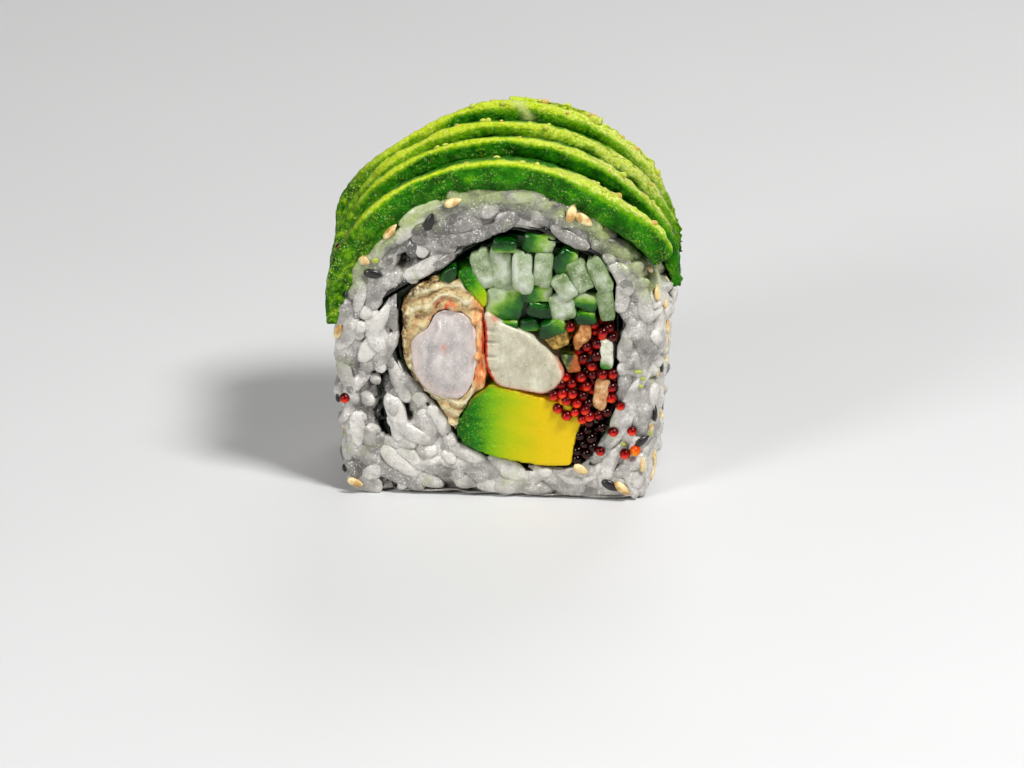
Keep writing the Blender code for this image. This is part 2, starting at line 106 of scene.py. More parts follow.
# The roe-stained strips: flesh colours along a noise, the second colour, its direction, where it starts.
STRIPS = (
    ("olive", (0.38, 104, 74, 10), (0.5, 164, 130, 30), (0.62, 212, 172, 84), (18, 62, 12), (-1, 1), 0.2),
    ("tan", (0.35, 146, 72, 20), (0.5, 196, 128, 56), (0.65, 228, 182, 116), (206, 120, 50), (1, 0), 0.6),
    ("dark", (0.38, 10, 34, 6), (0.5, 46, 76, 16), (0.62, 140, 144, 60), (188, 92, 28), (1, -0.3), -0.3),
    ("white", (0.3, 206, 204, 176), (0.6, 232, 232, 214), (60, 130, 20), (-0.1, -1), 0.35),
    ("pale", (0.35, 184, 112, 58), (0.5, 212, 156, 102), (0.65, 236, 200, 152), (222, 120, 70),
     (0.2, -1), 0.8),
)

# The avocado in the filling: how far its colour runs from the skin side, its tilt and start, and browning.
FILLING_AVOCADO = (
    ("avocado_filling", "avocado_chunk", 17.0, 0.1, 0.0, 1),
    ("avocado_sliver", "avocado_shaving", 15.0, 0.9, 3.6, 0),
)

# Heights of the notches in the fish stick's left side.
SURIMI_NOTCHES = (3.4, 5.6, 7.8, 9.6)

# Holes in the batter, painted dark brown as shade: x and z from its lower left corner, and radius.
BATTER_HOLES = ((8.4, 8.7, 0.55), (4.4, 4.9, 0.5), (4.6, 4.1, 0.5), (9.8, 15.0, 0.5))

# How much the filling pieces swell between the cuts.
SWELL = 0.6

# Roe: diameter of an egg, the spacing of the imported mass, the eggs lying loose on the front, and the bright
# cluster over the avocado's corner.
EGG = 1.6
EGG_SPACING = 1.28
EGG_TRIES = 2500
LOOSE_EGGS = (
    (17.7, 15.2), (16.7, 11.1), (19.4, 11.3), (14.8, 8.0), (18.4, 7.7), (-23.3, 16.4), (-22.5, 15.0),
    (-24.9, 39.4), (10.4, 27.3), (15.1, 26.6), (15.1, 20.1),
)
CLUSTER_EGGS = (
    (8.6, 14.5), (9.9, 15.9), (9.9, 13.5), (11.1, 14.1), (11.4, 15.5), (12.6, 14.5), (13.2, 13.5),
    (9.3, 16.9), (8.0, 16.5), (12.2, 13.0), (10.7, 16.9),
)
ORANGE_EGGS = ((19.7, 8.2), (9.2, 15.3))

# Sesame seeds: length, width and thickness, and those on the front as x, z and turn in degrees.
SEED_SIZE = (2.8, 1.7, 0.9)
PALE_SEEDS = (
    (-6.6, 45.9, 20), (-15.5, 41.0, 40), (-19.4, 36.5, -25), (10.5, 44.8, 75), (12.3, 43.8, -35),
    (22.6, 32.8, 80), (-23.1, 25.5, 60), (-23.4, 18.9, 85), (-23.7, 6.3, 50), (12.0, 5.0, -30),
    (-21.0, 1.9, -20), (24.0, 27.6, 85), (24.2, 25.0, 80), (23.8, 22.6, 75), (18.0, 2.2, -40),
    (22.3, 7.0, 80), (22.0, 4.8, 60),
)
DARK_SEEDS = (
    (-10.0, 42.9, 70), (-18.2, 34.6, -10), (16.3, 2.6, -30), (20.7, 9.8, 30), (22.3, 14.2, 70),
    (23.1, 21.6, 80),
)

# Green crumbs on the rice, as x and z.
CRUMBS = (
    (20.3, 20.5), (20.6, 18.2), (22.3, 18.2), (21.6, 10.9), (18.2, 9.1), (20.9, 19.4), (-22.9, 9.4),
    (-17.9, 36.6),
)

# The lamps: place in metres, size and power.
LAMPS = (
    ("key", (0.3, -0.24, 0.56), 0.15, 4.4), ("left", (-0.4, -0.46, 0.32), 0.2, 2.1),
    ("back", (0.1, 0.5, 0.4), 0.3, 0.9),
)


# ---------------- numbers


def colour(*display):
    """Linear colour from 8-bit display values."""
    return tuple(((c / 255 + 0.055) / 1.055) ** 2.4 if c > 10 else c / 255 / 12.92 for c in display)


def lattice(x, y, z, seed):
    """A repeatable random number in -1..1 for each whole-number lattice point."""
    mixed = (x * 374761393 + y * 668265263 + z * 1442695041 + seed * 1274126177) & 0xFFFFFFFF
    mixed = ((mixed ^ (mixed >> 13)) * 1274126177) & 0xFFFFFFFF
    return ((mixed ^ (mixed >> 16)) & 0xFFFF) / 32767.5 - 1.0


def waves(points, size, seed=0, octaves=1):
    """Smooth random waves in about -1..1 at (n, 3) points. size is a wave's width in millimetres."""
    total = np.zeros(len(points))
    for octave in range(octaves):
        scaled = np.asarray(points) / (size * MM * 0.5 ** octave)
        cell = np.floor(scaled).astype(np.int64)
        near = scaled - cell
        near = near * near * (3 - 2 * near)
        layer = 0.0
        for corner in range(8):
            step = np.array([corner & 1, corner >> 1 & 1, corner >> 2])
            share = np.prod(np.where(step, near, 1 - near), axis=1)
            layer = layer + share * lattice(*(cell + step).T, seed + 31 * octave)
        total += layer * 0.5 ** octave
    return total


def ease(values, low, high):
    """0 below low, 1 above high, and a smooth step between them."""
    t = np.clip((values - low) / (high - low), 0, 1)
    return t * t * (3 - 2 * t)


def ridge(values, middle, width):
    """1 at the middle, falling off smoothly to both sides."""
    return np.exp(-((values - middle) / width) ** 2)


def across(points):
    """The (x, z) of (n, 3) points."""
    return points[:, [0, 2]]


def pushed(points, ways, amount):
    """Points moved along their ways by millimetres."""
    return points + ways * (amount * MM)[:, None]


def push_out(points, amount):
    """Moves points along the roll, away from its middle, by millimetres."""
    points[:, 1] += np.sign(points[:, 1]) * amount * MM


def segment_distance(points, start, end):
    """How far (n, 2) points lie from a segment."""
    away, along = points - start, end - start
    share = np.clip(away @ along / max(along @ along, 1e-12), 0, 1)
    return np.hypot(*(away - share[:, None] * along).T)


# ---------------- meshes


def link(name, data):
    item = bpy.data.objects.new(name, data)
    bpy.context.scene.collection.objects.link(item)
    return item


def mesh_item(name, vertices, faces):
    mesh = bpy.data.meshes.new(name)
    mesh.from_pydata(np.asarray(vertices).tolist(), [], np.asarray(faces).tolist())
    mesh.shade_smooth()
    return link(name, mesh)


def alike(name, shapes, faces):
    """One mesh of many shapes, (n, points, 3), that all have the same faces."""
    starts = np.arange(len(shapes))[:, None, None] * len(shapes[0])
    return mesh_item(name, np.concatenate(shapes), (faces + starts).reshape(-1, faces.shape[1]))


def joined(name, shape, faces, axes, centres):
    """One mesh of many copies of a shape. axes is (n, 3, 3), each copy's scaled axes as rows."""
    points = np.einsum("vk,nkd->nvd", shape, np.array(axes)) + np.array(centres)[:, None]
    points[..., 2] = np.maximum(points[..., 2], 0)
    return alike(name, points, faces)


def tube(rows, around):
    """Quads between neighbouring rows of points."""
    k = np.arange(around)
    row = np.stack([k, (k + 1) % around, (k + 1) % around + around, k + around], axis=1)
    return np.concatenate([row + i * around for i in range(rows - 1)])


def blob(detail):
    """Points and triangles of a unit ball."""
    ball = bmesh.new()
    bmesh.ops.create_icosphere(ball, subdivisions=detail, radius=1.0)
    points = np.array([v.co[:] for v in ball.verts])
    faces = np.array([[v.index for v in face.verts] for face in ball.faces])
    ball.free()
    return points, faces


def stored(rows, name):
    found = np.empty(len(rows) * 3)
    rows.foreach_get(name, found)
    return found.reshape(-1, 3)


def places(item):
    return stored(item.data.vertices, "co")


def normals(item):
    return stored(item.data.vertex_normals, "vector")


def put(item, points):
    item.data.vertices.foreach_set("co", points.ravel())
    item.data.update()


def paint(item, **layers):
    """Stores numbers for the vertices, which a material reads by name."""
    for name, values in layers.items():
        layer = item.data.attributes.new(name, "FLOAT", "POINT")
        layer.data.foreach_set("value", np.full(len(layer.data), values, dtype=np.float32))


def welded(*nodes):
    """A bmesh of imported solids, with the corners that their export split joined again."""
    shape = bmesh.new()
    for node in nodes:
        shape.from_mesh(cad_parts[node].data)
    bmesh.ops.remove_doubles(shape, verts=shape.verts, dist=1e-6)
    return shape


def even_copy(node, name, voxel, smoothing=3):
    """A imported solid's shape as a new object with small even faces, its points and their normals."""
    shape = welded(node)
    mesh = bpy.data.meshes.new(name)
    shape.to_mesh(mesh)
    shape.free()
    item = link(name, mesh)
    remesh = item.modifiers.new("even", "REMESH")
    remesh.mode = "VOXEL"
    remesh.voxel_size = voxel * MM
    smooth = item.modifiers.new("smooth", "SMOOTH")
    smooth.factor = 0.5
    smooth.iterations = smoothing
    shown = item.evaluated_get(bpy.context.evaluated_depsgraph_get())
    item.data = bpy.data.meshes.new_from_object(shown)
    item.modifiers.clear()
    item.data.shade_smooth()
    return item, places(item), normals(item)


def surface(*nodes):
    """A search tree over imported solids, for the nearest point, its normal, and rays."""
    shape = welded(*nodes)
    tree = BVHTree.FromBMesh(shape)
    shape.free()
    return tree


def section(node):
    """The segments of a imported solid's cross-section halfway along the roll, as (n, 2, 2) of x and z."""
    shape = welded(node)
    everything = shape.verts[:] + shape.edges[:] + shape.faces[:]
    cut = bmesh.ops.bisect_plane(shape, geom=everything, plane_co=(0, 0, 0), plane_no=(0, 1, 0))
    edges = [part for part in cut["geom_cut"] if isinstance(part, bmesh.types.BMEdge)]
    segments = np.array([[(v.co.x, v.co.z) for v in edge.verts] for edge in edges])
    shape.free()
    return segments


def rim_distance(points, node):
    """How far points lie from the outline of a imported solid's cross-section, in millimetres."""
    flat = across(points)
    return reduce(np.minimum, (segment_distance(flat, *ends) for ends in section(node))) / MM


def inside(points, node):
    """Which (n, 2) points lie within a cross-section, by counting the outline edges above each one."""
    crossings = np.zeros(len(points), int)
    for (ax, az), (bx, bz) in section(node):
        spans = (points[:, 0] < ax) != (points[:, 0] < bx)
        height = az + (points[:, 0] - ax) * (bz - az) / ((bx - ax) or 1e-12)
        crossings += spans & (height > points[:, 1])
    return crossings % 2 == 1


def from_corner(points, node):
    """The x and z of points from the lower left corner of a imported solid, in millimetres."""
    low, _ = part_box(node)
    return (points[:, 0] - low.x) / MM, (points[:, 2] - low.z) / MM


def scattered(count, spacing, source, allowed, seed):
    """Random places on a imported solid's surface, at least a spacing apart, with their normals."""
    shape = welded(source)
    bmesh.ops.triangulate(shape, faces=shape.faces)
    corners = np.array([[v.co[:] for v in face.verts] for face in shape.faces])
    facing = np.array([face.normal[:] for face in shape.faces])
    areas = np.array([face.calc_area() for face in shape.faces])
    shape.free()
    draw = np.random.default_rng(seed)
    picks = draw.choice(len(areas), count, p=areas / areas.sum())
    a, b = np.sqrt(draw.random(count)), draw.random(count)
    shares = np.stack([1 - a, a * (1 - b), a * b], axis=1)
    spots, kept = np.empty((count, 3)), []
    for point, normal in zip(np.einsum("nk,nkd->nd", shares, corners[picks]), facing[picks]):
        if not allowed(point, normal):
            continue
        distances = np.sum((spots[:len(kept)] - point) ** 2, axis=1)
        if np.all(distances >= (spacing * MM) ** 2):
            spots[len(kept)] = point
            kept.append(Vector(normal))
    return zip(spots, kept)


# ---------------- materials


class Number:
    """A number that a material works out at each place. It adds, subtracts and multiplies as numbers do."""

    def __init__(self, look, socket):
        self.look = look
        self.socket = socket

    def __add__(self, other):
        return self.look.math("ADD", self, other)

    def __sub__(self, other):
        return self.look.math("SUBTRACT", self, other)

    def __mul__(self, other):
        return self.look.math("MULTIPLY", self, other)

    def span(self, low, high, start=0.0, end=1.0):
        """Maps low..high smoothly to start..end."""
        values = (self, low, high, start, end)
        node = self.look.add("ShaderNodeMapRange", *values, interpolation_type="SMOOTHSTEP")
        return Number(self.look, node.outputs[0])


class Look:
    """One material and the nodes that shade it. Lengths are in millimetres and colours are 8-bit."""

    def __init__(self, name, **settings):
        self.material = bpy.data.materials.new(name)
        self.material.use_nodes = True
        self.tree = self.material.node_tree
        self.shader = self.tree.nodes["Principled BSDF"]
        for socket, value in settings.items():
            self.shader.inputs[socket.replace("_", " ")].default_value = value
        self.object_place = self.add("ShaderNodeTexCoord").outputs["Object"]
        self.tint = None

    def add(self, kind, *values, **settings):
        """A node with its settings, and values for its first sockets."""
        node = self.tree.nodes.new(kind)
        for name, value in settings.items():
            setattr(node, name, value)
        for socket, value in zip(node.inputs, values):
            self.feed(socket, value)
        return node

    def feed(self, socket, value):
        """Sets a socket to a number or a colour, or links it to what works one out."""
        value = getattr(value, "socket", value)
        if isinstance(value, bpy.types.NodeSocket):
            self.tree.links.new(value, socket)
        else:
            socket.default_value = (*colour(*value), 1.0) if isinstance(value, tuple) else value

    def texture(self, kind, size, stretch=None, **sockets):
        """A texture with features of about a size, stretched by more than 1 to be finer along an axis."""
        place = self.object_place
        if stretch:
            mapping = self.add("ShaderNodeMapping", place)
            mapping.inputs["Scale"].default_value = stretch
            place = mapping.outputs["Vector"]
        node = self.add(kind, place)
        for name, value in (("Scale", 1 / (size * MM)), *sockets.items()):
            node.inputs[name].default_value = value
        return Number(self, node.outputs[0])

    def noise(self, size, detail=3.0, rough=0.55, distortion=0.0, stretch=None):
        return self.texture(
            "ShaderNodeTexNoise", size, stretch, Detail=detail, Roughness=rough, Distortion=distortion)

    def cells(self, size):
        return self.texture("ShaderNodeTexVoronoi", size)

    def painted(self, name):
        return Number(self, self.add("ShaderNodeAttribute", attribute_name=name).outputs["Fac"])

    def math(self, operation, a, b):
        return Number(self, self.add("ShaderNodeMath", a, b, operation=operation).outputs[0])

    def mix(self, share, a, b):
        node = self.add("ShaderNodeMix", share, data_type="RGBA")
        self.feed(node.inputs[6], a)
        self.feed(node.inputs[7], b)
        return node.outputs[2]

    def ramp(self, value, *stops):
        """Colours along a value. Each stop is a position, then red, green and blue."""
        node = self.add("ShaderNodeValToRGB", value)
        elements = node.color_ramp.elements
        while len(elements) < len(stops):
            elements.new(0.5)
        for element, (position, *tint) in zip(elements, stops):
            element.position = position
            element.color = (*colour(*tint), 1.0)
        return node.outputs["Color"]

    def lay(self, tint, share=None):
        """Starts with a colour, or lays it over the colour so far by a share."""
        self.tint = tint if share is None else self.mix(share, self.tint, tint)
        self.feed(self.shader.inputs["Base Color"], self.tint)

    def roughness(self, value, start, end):
        """Roughness from start to end as a noise goes from its low values to its high ones."""
        self.feed(self.shader.inputs["Roughness"], value.span(0.3, 0.7, start, end))

    def rounded(self, radius):
        """A normal that blends across the creases where shapes meet, within a radius."""
        return self.add("ShaderNodeBevel", radius * MM, samples=6).outputs["Normal"]

    def bump(self, *layers, normal=None):
        """Relief from (height, depth) layers, one on the other."""
        for height, depth in layers:
            node = self.add("ShaderNodeBump")
            node.inputs["Distance"].default_value = depth * MM
            self.feed(node.inputs["Height"], height)
            if normal:
                self.feed(node.inputs["Normal"], normal)
            normal = node.outputs["Normal"]
        self.feed(self.shader.inputs["Normal"], normal)

    def soft(self, weight, depth, radius=(1.0, 0.8, 0.6)):
        """Light that enters the food and comes out nearby."""
        for name, value in (("Weight", weight), ("Scale", depth * MM), ("Radius", radius)):
            self.shader.inputs[f"Subsurface {name}"].default_value = value


def rice_look():
    """Cooked rice: cloudy grains, painted wet highlights, a green stain that is partly painted shade under
    the slices, and painted black-green shade in the gaps.
    """
    look = Look("rice_grain", Coat_Weight=0.42, Coat_Roughness=0.1)
    cloudy = look.noise(2.6, 4)
    clump = cloudy * 1.2 + look.noise(7.0, 2) - 1.1
    look.lay(look.ramp(
        look.painted("tone") + clump, (0.0, 92, 89, 85), (0.4, 150, 146, 140), (0.85, 214, 210, 202)))
    # Painted highlights: small white wet glints.
    look.lay((250, 248, 246), look.noise(0.28, 2).span(0.56, 0.66) * cloudy.span(0.4, 0.62, 0.1, 0.8))
    look.lay((96, 93, 88), look.noise(0.5, 3).span(0.42, 0.32, 0.0, 0.25))
    # A green tint: random stains, and painted shade where the rice lies close under the slices.
    stain = look.noise(4.5, 3).span(0.58, 0.72) * 0.3
    look.lay((160, 178, 96), stain + look.painted("stain") * cloudy.span(0.3, 0.6))
    # Painted shade: near-black green in the gaps between grains and along the nori.
    look.lay((14, 18, 10), look.painted("pocket"))
    look.roughness(look.noise(0.7), 0.14, 0.42)
    look.bump((look.noise(1.1, 4, 0.6), 0.2), (look.noise(0.4, 3), 0.1), normal=look.rounded(0.45))
    look.soft(0.2, 0.5, (1.0, 0.94, 0.88))
    return look


def nori_look():
    look = Look("nori_sheet", Specular_IOR_Level=0.2)
    look.lay(look.ramp(look.noise(0.9, 5), (0.35, 8, 12, 9), (0.55, 20, 30, 18), (0.75, 52, 64, 34)))
    look.roughness(look.noise(0.6), 0.25, 0.6)
    look.bump((look.noise(0.5, 5), 0.15), (look.cells(0.35), 0.05))
    return look


def slice_look():
    """Avocado slice: pale to yellow-green at the crest, deep green below it, a mottled left flank, and
    painted pale highlights.
    """
    look = Look("avocado_slice", Specular_IOR_Level=0.25, Specular_Tint=(0.7, 1.0, 0.3, 1.0))
    grain, blotch = look.noise(0.42, 4, 0.7), look.noise(2.2, 4)
    side = look.painted("side")
    below = look.painted("from_crest") + (look.noise(0.8, 4) - 0.5) * 0.8
    narrow = look.ramp(grain, (0.35, 160, 198, 0), (0.5, 206, 224, 30), (0.65, 232, 238, 120))
    wide = look.ramp(grain, (0.35, 158, 190, 16), (0.5, 210, 222, 84), (0.65, 240, 242, 176))
    look.lay(look.mix(look.painted("wide"), narrow, wide))
    look.lay(look.mix(blotch, (60, 140, 0), (134, 184, 0)), below.span(0.35, 0.8))
    deep = look.ramp(blotch, (0.3, 0, 52, 0), (0.45, 6, 92, 0), (0.6, 34, 126, 0), (0.75, 92, 160, 0))
    look.lay(deep, below.span(0.75, 1.2))
    mottled = look.noise(1.3, 5)
    look.lay(look.ramp(
        mottled, (0.36, 8, 62, 0), (0.48, 44, 106, 0), (0.6, 98, 150, 4), (0.72, 172, 194, 34)), side)
    look.lay((206, 216, 130), look.painted("streak"))
    often = look.noise(2.8, 2).span(0.38, 0.6, 0.1, 0.8)
    look.lay((160, 200, 40), grain.span(0.56, 0.68) * often)
    # Painted highlights: small pale glints, strongest on the left flank.
    look.lay((226, 240, 150), look.noise(0.3, 3).span(0.55, 0.68) * (often * side.span(0, 1, 0.4, 0.75)))
    look.roughness(grain, 0.5, 0.2)
    look.bump((look.noise(0.9, 3), 0.3), (grain, 0.35), (look.noise(0.2, 2), 0.06))
    look.soft(0.12, 0.5, (0.7, 1.0, 0.1))
    return look


def filling_avocado_look():
    """Avocado chunk: granular green under the skin side, then smooth yellow-green to yellow."""
    look = Look("avocado_flesh", Specular_IOR_Level=0.2)
    grain = look.noise(0.42, 4, 0.7)
    place = look.painted("from_skin") + (look.noise(2.6, 4, 0.6, stretch=(0.6, 1, 1.3)) - 0.5) * 0.22
    look.lay(look.ramp(
        place, (0.0, 8, 84, 0), (0.12, 22, 122, 0), (0.24, 116, 176, 2), (0.42, 178, 190, 0),
        (0.68, 222, 192, 4), (1.0, 232, 194, 22)))
    look.lay((96, 176, 16), grain.span(0.5, 0.68) * place.span(0.34, 0.1, 0.03, 0.55))
    # Fine pale specks in the green part: partly flesh speckle, partly painted highlights.
    look.lay((214, 234, 90), look.noise(0.3, 3).span(0.56, 0.7) * place.span(0.5, 0.1, 0.12, 0.35))
    look.lay((188, 116, 12), look.painted("top_edge") * look.noise(0.9, 3).span(0.4, 0.6, 0.0, 0.7))
    look.roughness(grain, 0.45, 0.22)
    look.bump((grain * place.span(0.4, 0.1, 0.2, 1.0), 0.35), (look.noise(0.5), 0.06))
    look.soft(0.25, 0.8, (1.0, 0.9, 0.15))
    return look


def prawn_look():
    look = Look("prawn_flesh", Coat_Weight=0.4, Coat_Roughness=0.12)
    fibre = look.noise(1.5, 3, stretch=(1.0, 0.3, 0.6))
    look.lay(look.ramp(fibre, (0.3, 178, 171, 170), (0.5, 197, 189, 185), (0.7, 216, 209, 204)))
    # Painted highlights: small white wet glints.
    look.lay((250, 248, 248), look.noise(0.28, 2).span(0.58, 0.68, 0.0, 0.5))
    look.lay((232, 150, 110), look.painted("blush") * look.noise(0.5, 3).span(0.4, 0.6, 0.2, 1.0))
    look.lay((234, 204, 190), look.painted("edge") * 0.3)
    look.roughness(fibre, 0.2, 0.42)
    look.bump((fibre, 0.1), (look.noise(0.3, 3), 0.05))
    look.soft(0.6, 1.2, (1.0, 0.85, 0.8))
    return look


def batter_look():
    """Batter: folds with painted cream highlights and painted tan shade, an orange wall with red lines, and a
    brown crust.
    """
    look = Look("batter_crust", Coat_Weight=0.35, Coat_Roughness=0.1)
    layers = look.noise(0.9, 5, 0.6, 0.3)
    look.lay(look.ramp(
        layers, (0.3, 146, 122, 66), (0.42, 188, 168, 110), (0.56, 224, 208, 162), (0.72, 172, 172, 104)))
    crease = look.painted("crease") + (layers - 0.5) * 1.4
    # Painted shade: tan in the fold valleys. Painted highlights: cream on the fold ridges.
    look.lay((204, 150, 84), crease.span(0.6, 1.1, 0.0, 0.6))
    look.lay((246, 238, 208), crease.span(0.25, -0.1, 0.0, 0.7))
    streaks = look.noise(0.9, 4, 0.6, stretch=(1.6, 1.0, 0.3))
    wall = look.ramp(streaks, (0.32, 206, 82, 26), (0.46, 234, 150, 76), (0.62, 246, 204, 146))
    look.lay(wall, look.painted("orange"))
    look.lay((222, 96, 44), look.painted("spots") * look.noise(0.9, 3).span(0.42, 0.6))
    ragged = (look.noise(0.6, 3) - 0.5) * 0.8
    look.lay((206, 48, 10), (look.painted("red_line") + ragged).span(0.5, 0.66))
    crust = look.painted("crust") * look.noise(0.7, 4).span(0.38, 0.54)
    look.lay(look.ramp(layers, (0.35, 48, 34, 8), (0.65, 154, 118, 52)), crust)
    # Painted shade: brown in the cracks and holes.
    look.lay((140, 98, 44), look.painted("crack"))
    look.roughness(layers, 0.18, 0.45)
    look.bump((layers, 0.5), (look.noise(0.3, 4), 0.15))
    look.soft(0.5, 1.0, (1.0, 0.85, 0.6))
    return look


def surimi_look():
    """Fish stick: fine pale flesh with specks and painted highlights, and a thin red skin with a blush where
    "stained".
    """
    look = Look("surimi_flesh", Roughness=0.35, Coat_Weight=0.25, Coat_Roughness=0.2)
    flesh = look.noise(1.2, 4, stretch=(1.0, 0.4, 0.6))
    look.lay(look.ramp(flesh, (0.3, 180, 175, 148), (0.55, 203, 198, 174), (0.72, 222, 218, 198)))
    # Painted highlights: small white wet glints.
    look.lay((250, 248, 240), look.noise(0.28, 2).span(0.58, 0.68, 0.0, 0.3))
    look.lay((110, 84, 40), look.cells(1.5).span(0.09, 0.05) * 0.75)
    edge = look.painted("rim") + look.noise(0.7, 3) * 0.25
    stained = look.painted("stained")
    look.lay((240, 170, 126), edge.span(1.1, 0.3) * stained * 0.4)
    look.lay((196, 44, 12), (edge - (stained * 0.3 + 0.12)).span(0.12, -0.04) * stained)
    look.bump((look.noise(0.7, 4), 0.1), (look.noise(0.22, 3), 0.03))
    look.soft(0.4, 1.0, (1.0, 0.85, 0.7))
    return look


def cucumber_look():
    """Pale watery flesh, then yellow-green and deep green towards the painted skin."""
    look = Look("cucumber_flesh", Specular_IOR_Level=0.35, Coat_Weight=0.12, Coat_Roughness=0.07)
    cloud = look.noise(1.8, 3, 0.5) + look.painted("tone")
    look.lay(look.ramp(cloud, (0.3, 112, 132, 84), (0.5, 168, 180, 148), (0.7, 206, 212, 196)))
    # Painted highlights: small white wet glints.
    look.lay((244, 248, 238), look.noise(0.28, 2).span(0.58, 0.68, 0.0, 0.35))
    look.lay((96, 130, 58), look.painted("rim"))
    near = look.painted("skin") + (look.noise(1.1, 4) - 0.5) * 0.5
    skin = look.ramp(
        near, (0.3, 168, 190, 120), (0.45, 112, 160, 40), (0.62, 38, 108, 14), (0.85, 10, 74, 8),
        (1.0, 4, 54, 4))
    look.lay(skin, near.span(0.16, 0.36))
    look.roughness(cloud, 0.12, 0.3)
    look.bump((cloud, 0.2), (look.noise(0.35, 3), 0.08))
    look.soft(0.35, 0.8, (0.9, 1.0, 0.75))
    return look


def strip_look(name, stops, skin):
    """A roe-stained strip: a mottled flesh colour, and a second colour where its "skin" is painted."""
    look = Look(name, Roughness=0.35, Coat_Weight=0.15, Coat_Roughness=0.12)
    grain = look.noise(0.8, 5, 0.65)
    look.lay(look.ramp(grain, *stops))
    look.lay(skin, look.painted("skin"))
    look.bump((grain, 0.5), (look.noise(0.25, 3), 0.06))
    look.soft(0.4, 1.0, (1.0, 0.7, 0.4))
    return look


def egg_look(name, *stops):
    """A clear egg: its tone runs from nearly black, painted shade where eggs are packed deep, to bright,
    painted light.
    """
    look = Look(name, Roughness=0.05, Specular_IOR_Level=0.28)
    look.lay(look.ramp(look.painted("tone") + (look.noise(0.8, 2) - 0.5) * 0.3, *stops))
    return look


def jelly_look():
    """The mass between the eggs, painted dark red to near black as the shade deep among them."""
    look = Look("roe_jelly", Roughness=0.12, Coat_Weight=1.0)
    look.lay(look.ramp(look.cells(1.4), (0.1, 96, 2, 6), (0.6, 24, 0, 4)))
    look.bump((look.cells(1.4), 0.4))
    return look


def seed_look(name, tip, belly):
    look = Look(name, Roughness=0.38, Coat_Weight=0.3, Coat_Roughness=0.2)
    look.lay(look.mix(look.noise(1.2, 4).span(0.35, 0.7), belly, tip))
    look.bump((look.noise(0.3, 3), 0.04))
    look.soft(0.2, 0.5)
    return look


def crumb_look(name, dark, light):
    look = Look(name, Roughness=0.4, Coat_Weight=0.3)
    look.lay(look.mix(look.noise(0.7, 3), dark, light))
    look.bump((look.noise(0.3, 3), 0.08))
    look.soft(0.4, 0.6)
    return look


# ---------------- pieces


def finished(item, look, slot, *nodes):
    """Gives a piece its material and its body, and hides the solids it stands for. The slot is not used."""
    item.data.materials.clear()
    item.data.materials.append(look.material)
    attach(item, "root")
    if nodes:
        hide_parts(*nodes)


def unit_grain():
    """Points and quads of a blunt-ended grain along X, of unit half-sizes."""
    x = np.sin(np.radians(-90 + 180 * (np.arange(GRAIN_ALONG) + 0.5) / GRAIN_ALONG))[:, None]
    girth = (1 - abs(x) ** 3.2) ** 0.5
    turn = 2 * np.pi * np.arange(GRAIN_AROUND) / GRAIN_AROUND
    points = np.stack([x + 0 * turn, girth * np.cos(turn), girth * np.sin(turn)], axis=2)
    j = np.arange(1, GRAIN_AROUND // 2)
    cap = np.stack([j - 1, j, GRAIN_AROUND - 1 - j, (GRAIN_AROUND - j) % GRAIN_AROUND], axis=1)
    other = cap[:, ::-1] + (GRAIN_ALONG - 1) * GRAIN_AROUND
    sides = tube(GRAIN_ALONG, GRAIN_AROUND)[:, [0, 3, 2, 1]]
    return points.reshape(-1, 3), np.concatenate([sides, cap, other])


def outside_by(tree, point):
    """How far a point lies outside a solid, in millimetres, and negative inside it."""
    nearest, normal, _, distance = tree.find_nearest(point)
    return (distance if (point - nearest).dot(normal) > 0 else -distance) / MM


def uneven_cut(points):
    """Presses what stands past the two cut faces flatter, with the shallow waves that the knife leaves."""
    limit = END - CUT_UNEVEN * MM * 0.5 * (1 - waves(points, 5.0, 5)) + 0.12 * MM * waves(points, 0.9, 6)
    push_out(points, -0.75 * np.maximum(np.abs(points[:, 1]) - limit, 0) / MM)


def rice_wanted(point, normal):
    """Grains cover what shows: not the walls round the fillings, nor the top under the slices."""
    on_end = abs(normal[1]) > 0.7
    outward = normal[0] * (point[0] - NORI_MIDDLE[0]) + normal[2] * (point[2] - NORI_MIDDLE[1])
    covered = normal[2] > 0.6 and abs(point[1]) < END - 1.5 * MM
    return on_end or (outward > 0 and not covered and normal[2] > -0.5)


def grain_way(centre, normal, draw, lean):
    """A likely direction for a grain: round the fillings on the cut faces, any way on the sides."""
    if abs(normal.y) > 0.7 and draw.random() < 0.75:
        out = centre - Vector((NORI_MIDDLE[0], centre.y, NORI_MIDDLE[1]))
        level = normal.cross(out).normalized()
        turn = math.radians(draw.gauss(0, 32))
        side = level * math.cos(turn) + normal.cross(level) * math.sin(turn)
    else:
        side = Vector(draw.gauss(0, 1) for _ in range(3))
        side = (side - side.dot(normal) * normal).normalized()
    return side * math.cos(lean) + normal * math.sin(lean)


def lay_grain(tree, point, normal, depth, draw):
    """The middle and direction of a grain whose tips stay in the rice, and how far the worse one is out."""
    end_on = draw.random() < END_ON
    reach = 0.38 * GRAIN_SIZE[0] * MM
    best = (None, None, 1e9)
    for _ in range(8):
        lean = math.radians(draw.uniform(35, 75) if end_on else draw.uniform(-13, 13))
        sink = depth * MM + (reach * math.sin(lean) - 0.6 * MM if end_on else 0)
        centre = point - normal * sink
        along = grain_way(centre, normal, draw, lean)
        out = max(outside_by(tree, centre + along * reach), outside_by(tree, centre - along * reach))
        if out < best[2]:
            best = (centre, along, out)
        if out < 0.2:
            break
    return best


def pocket_distance(points):
    """How far points lie from the nearest of the slits between the grains, in millimetres."""
    flat, slits = across(points) / MM, np.array(POCKETS)
    return reduce(np.minimum, (segment_distance(flat, slit[:2], slit[2:4]) - slit[4] for slit in slits))


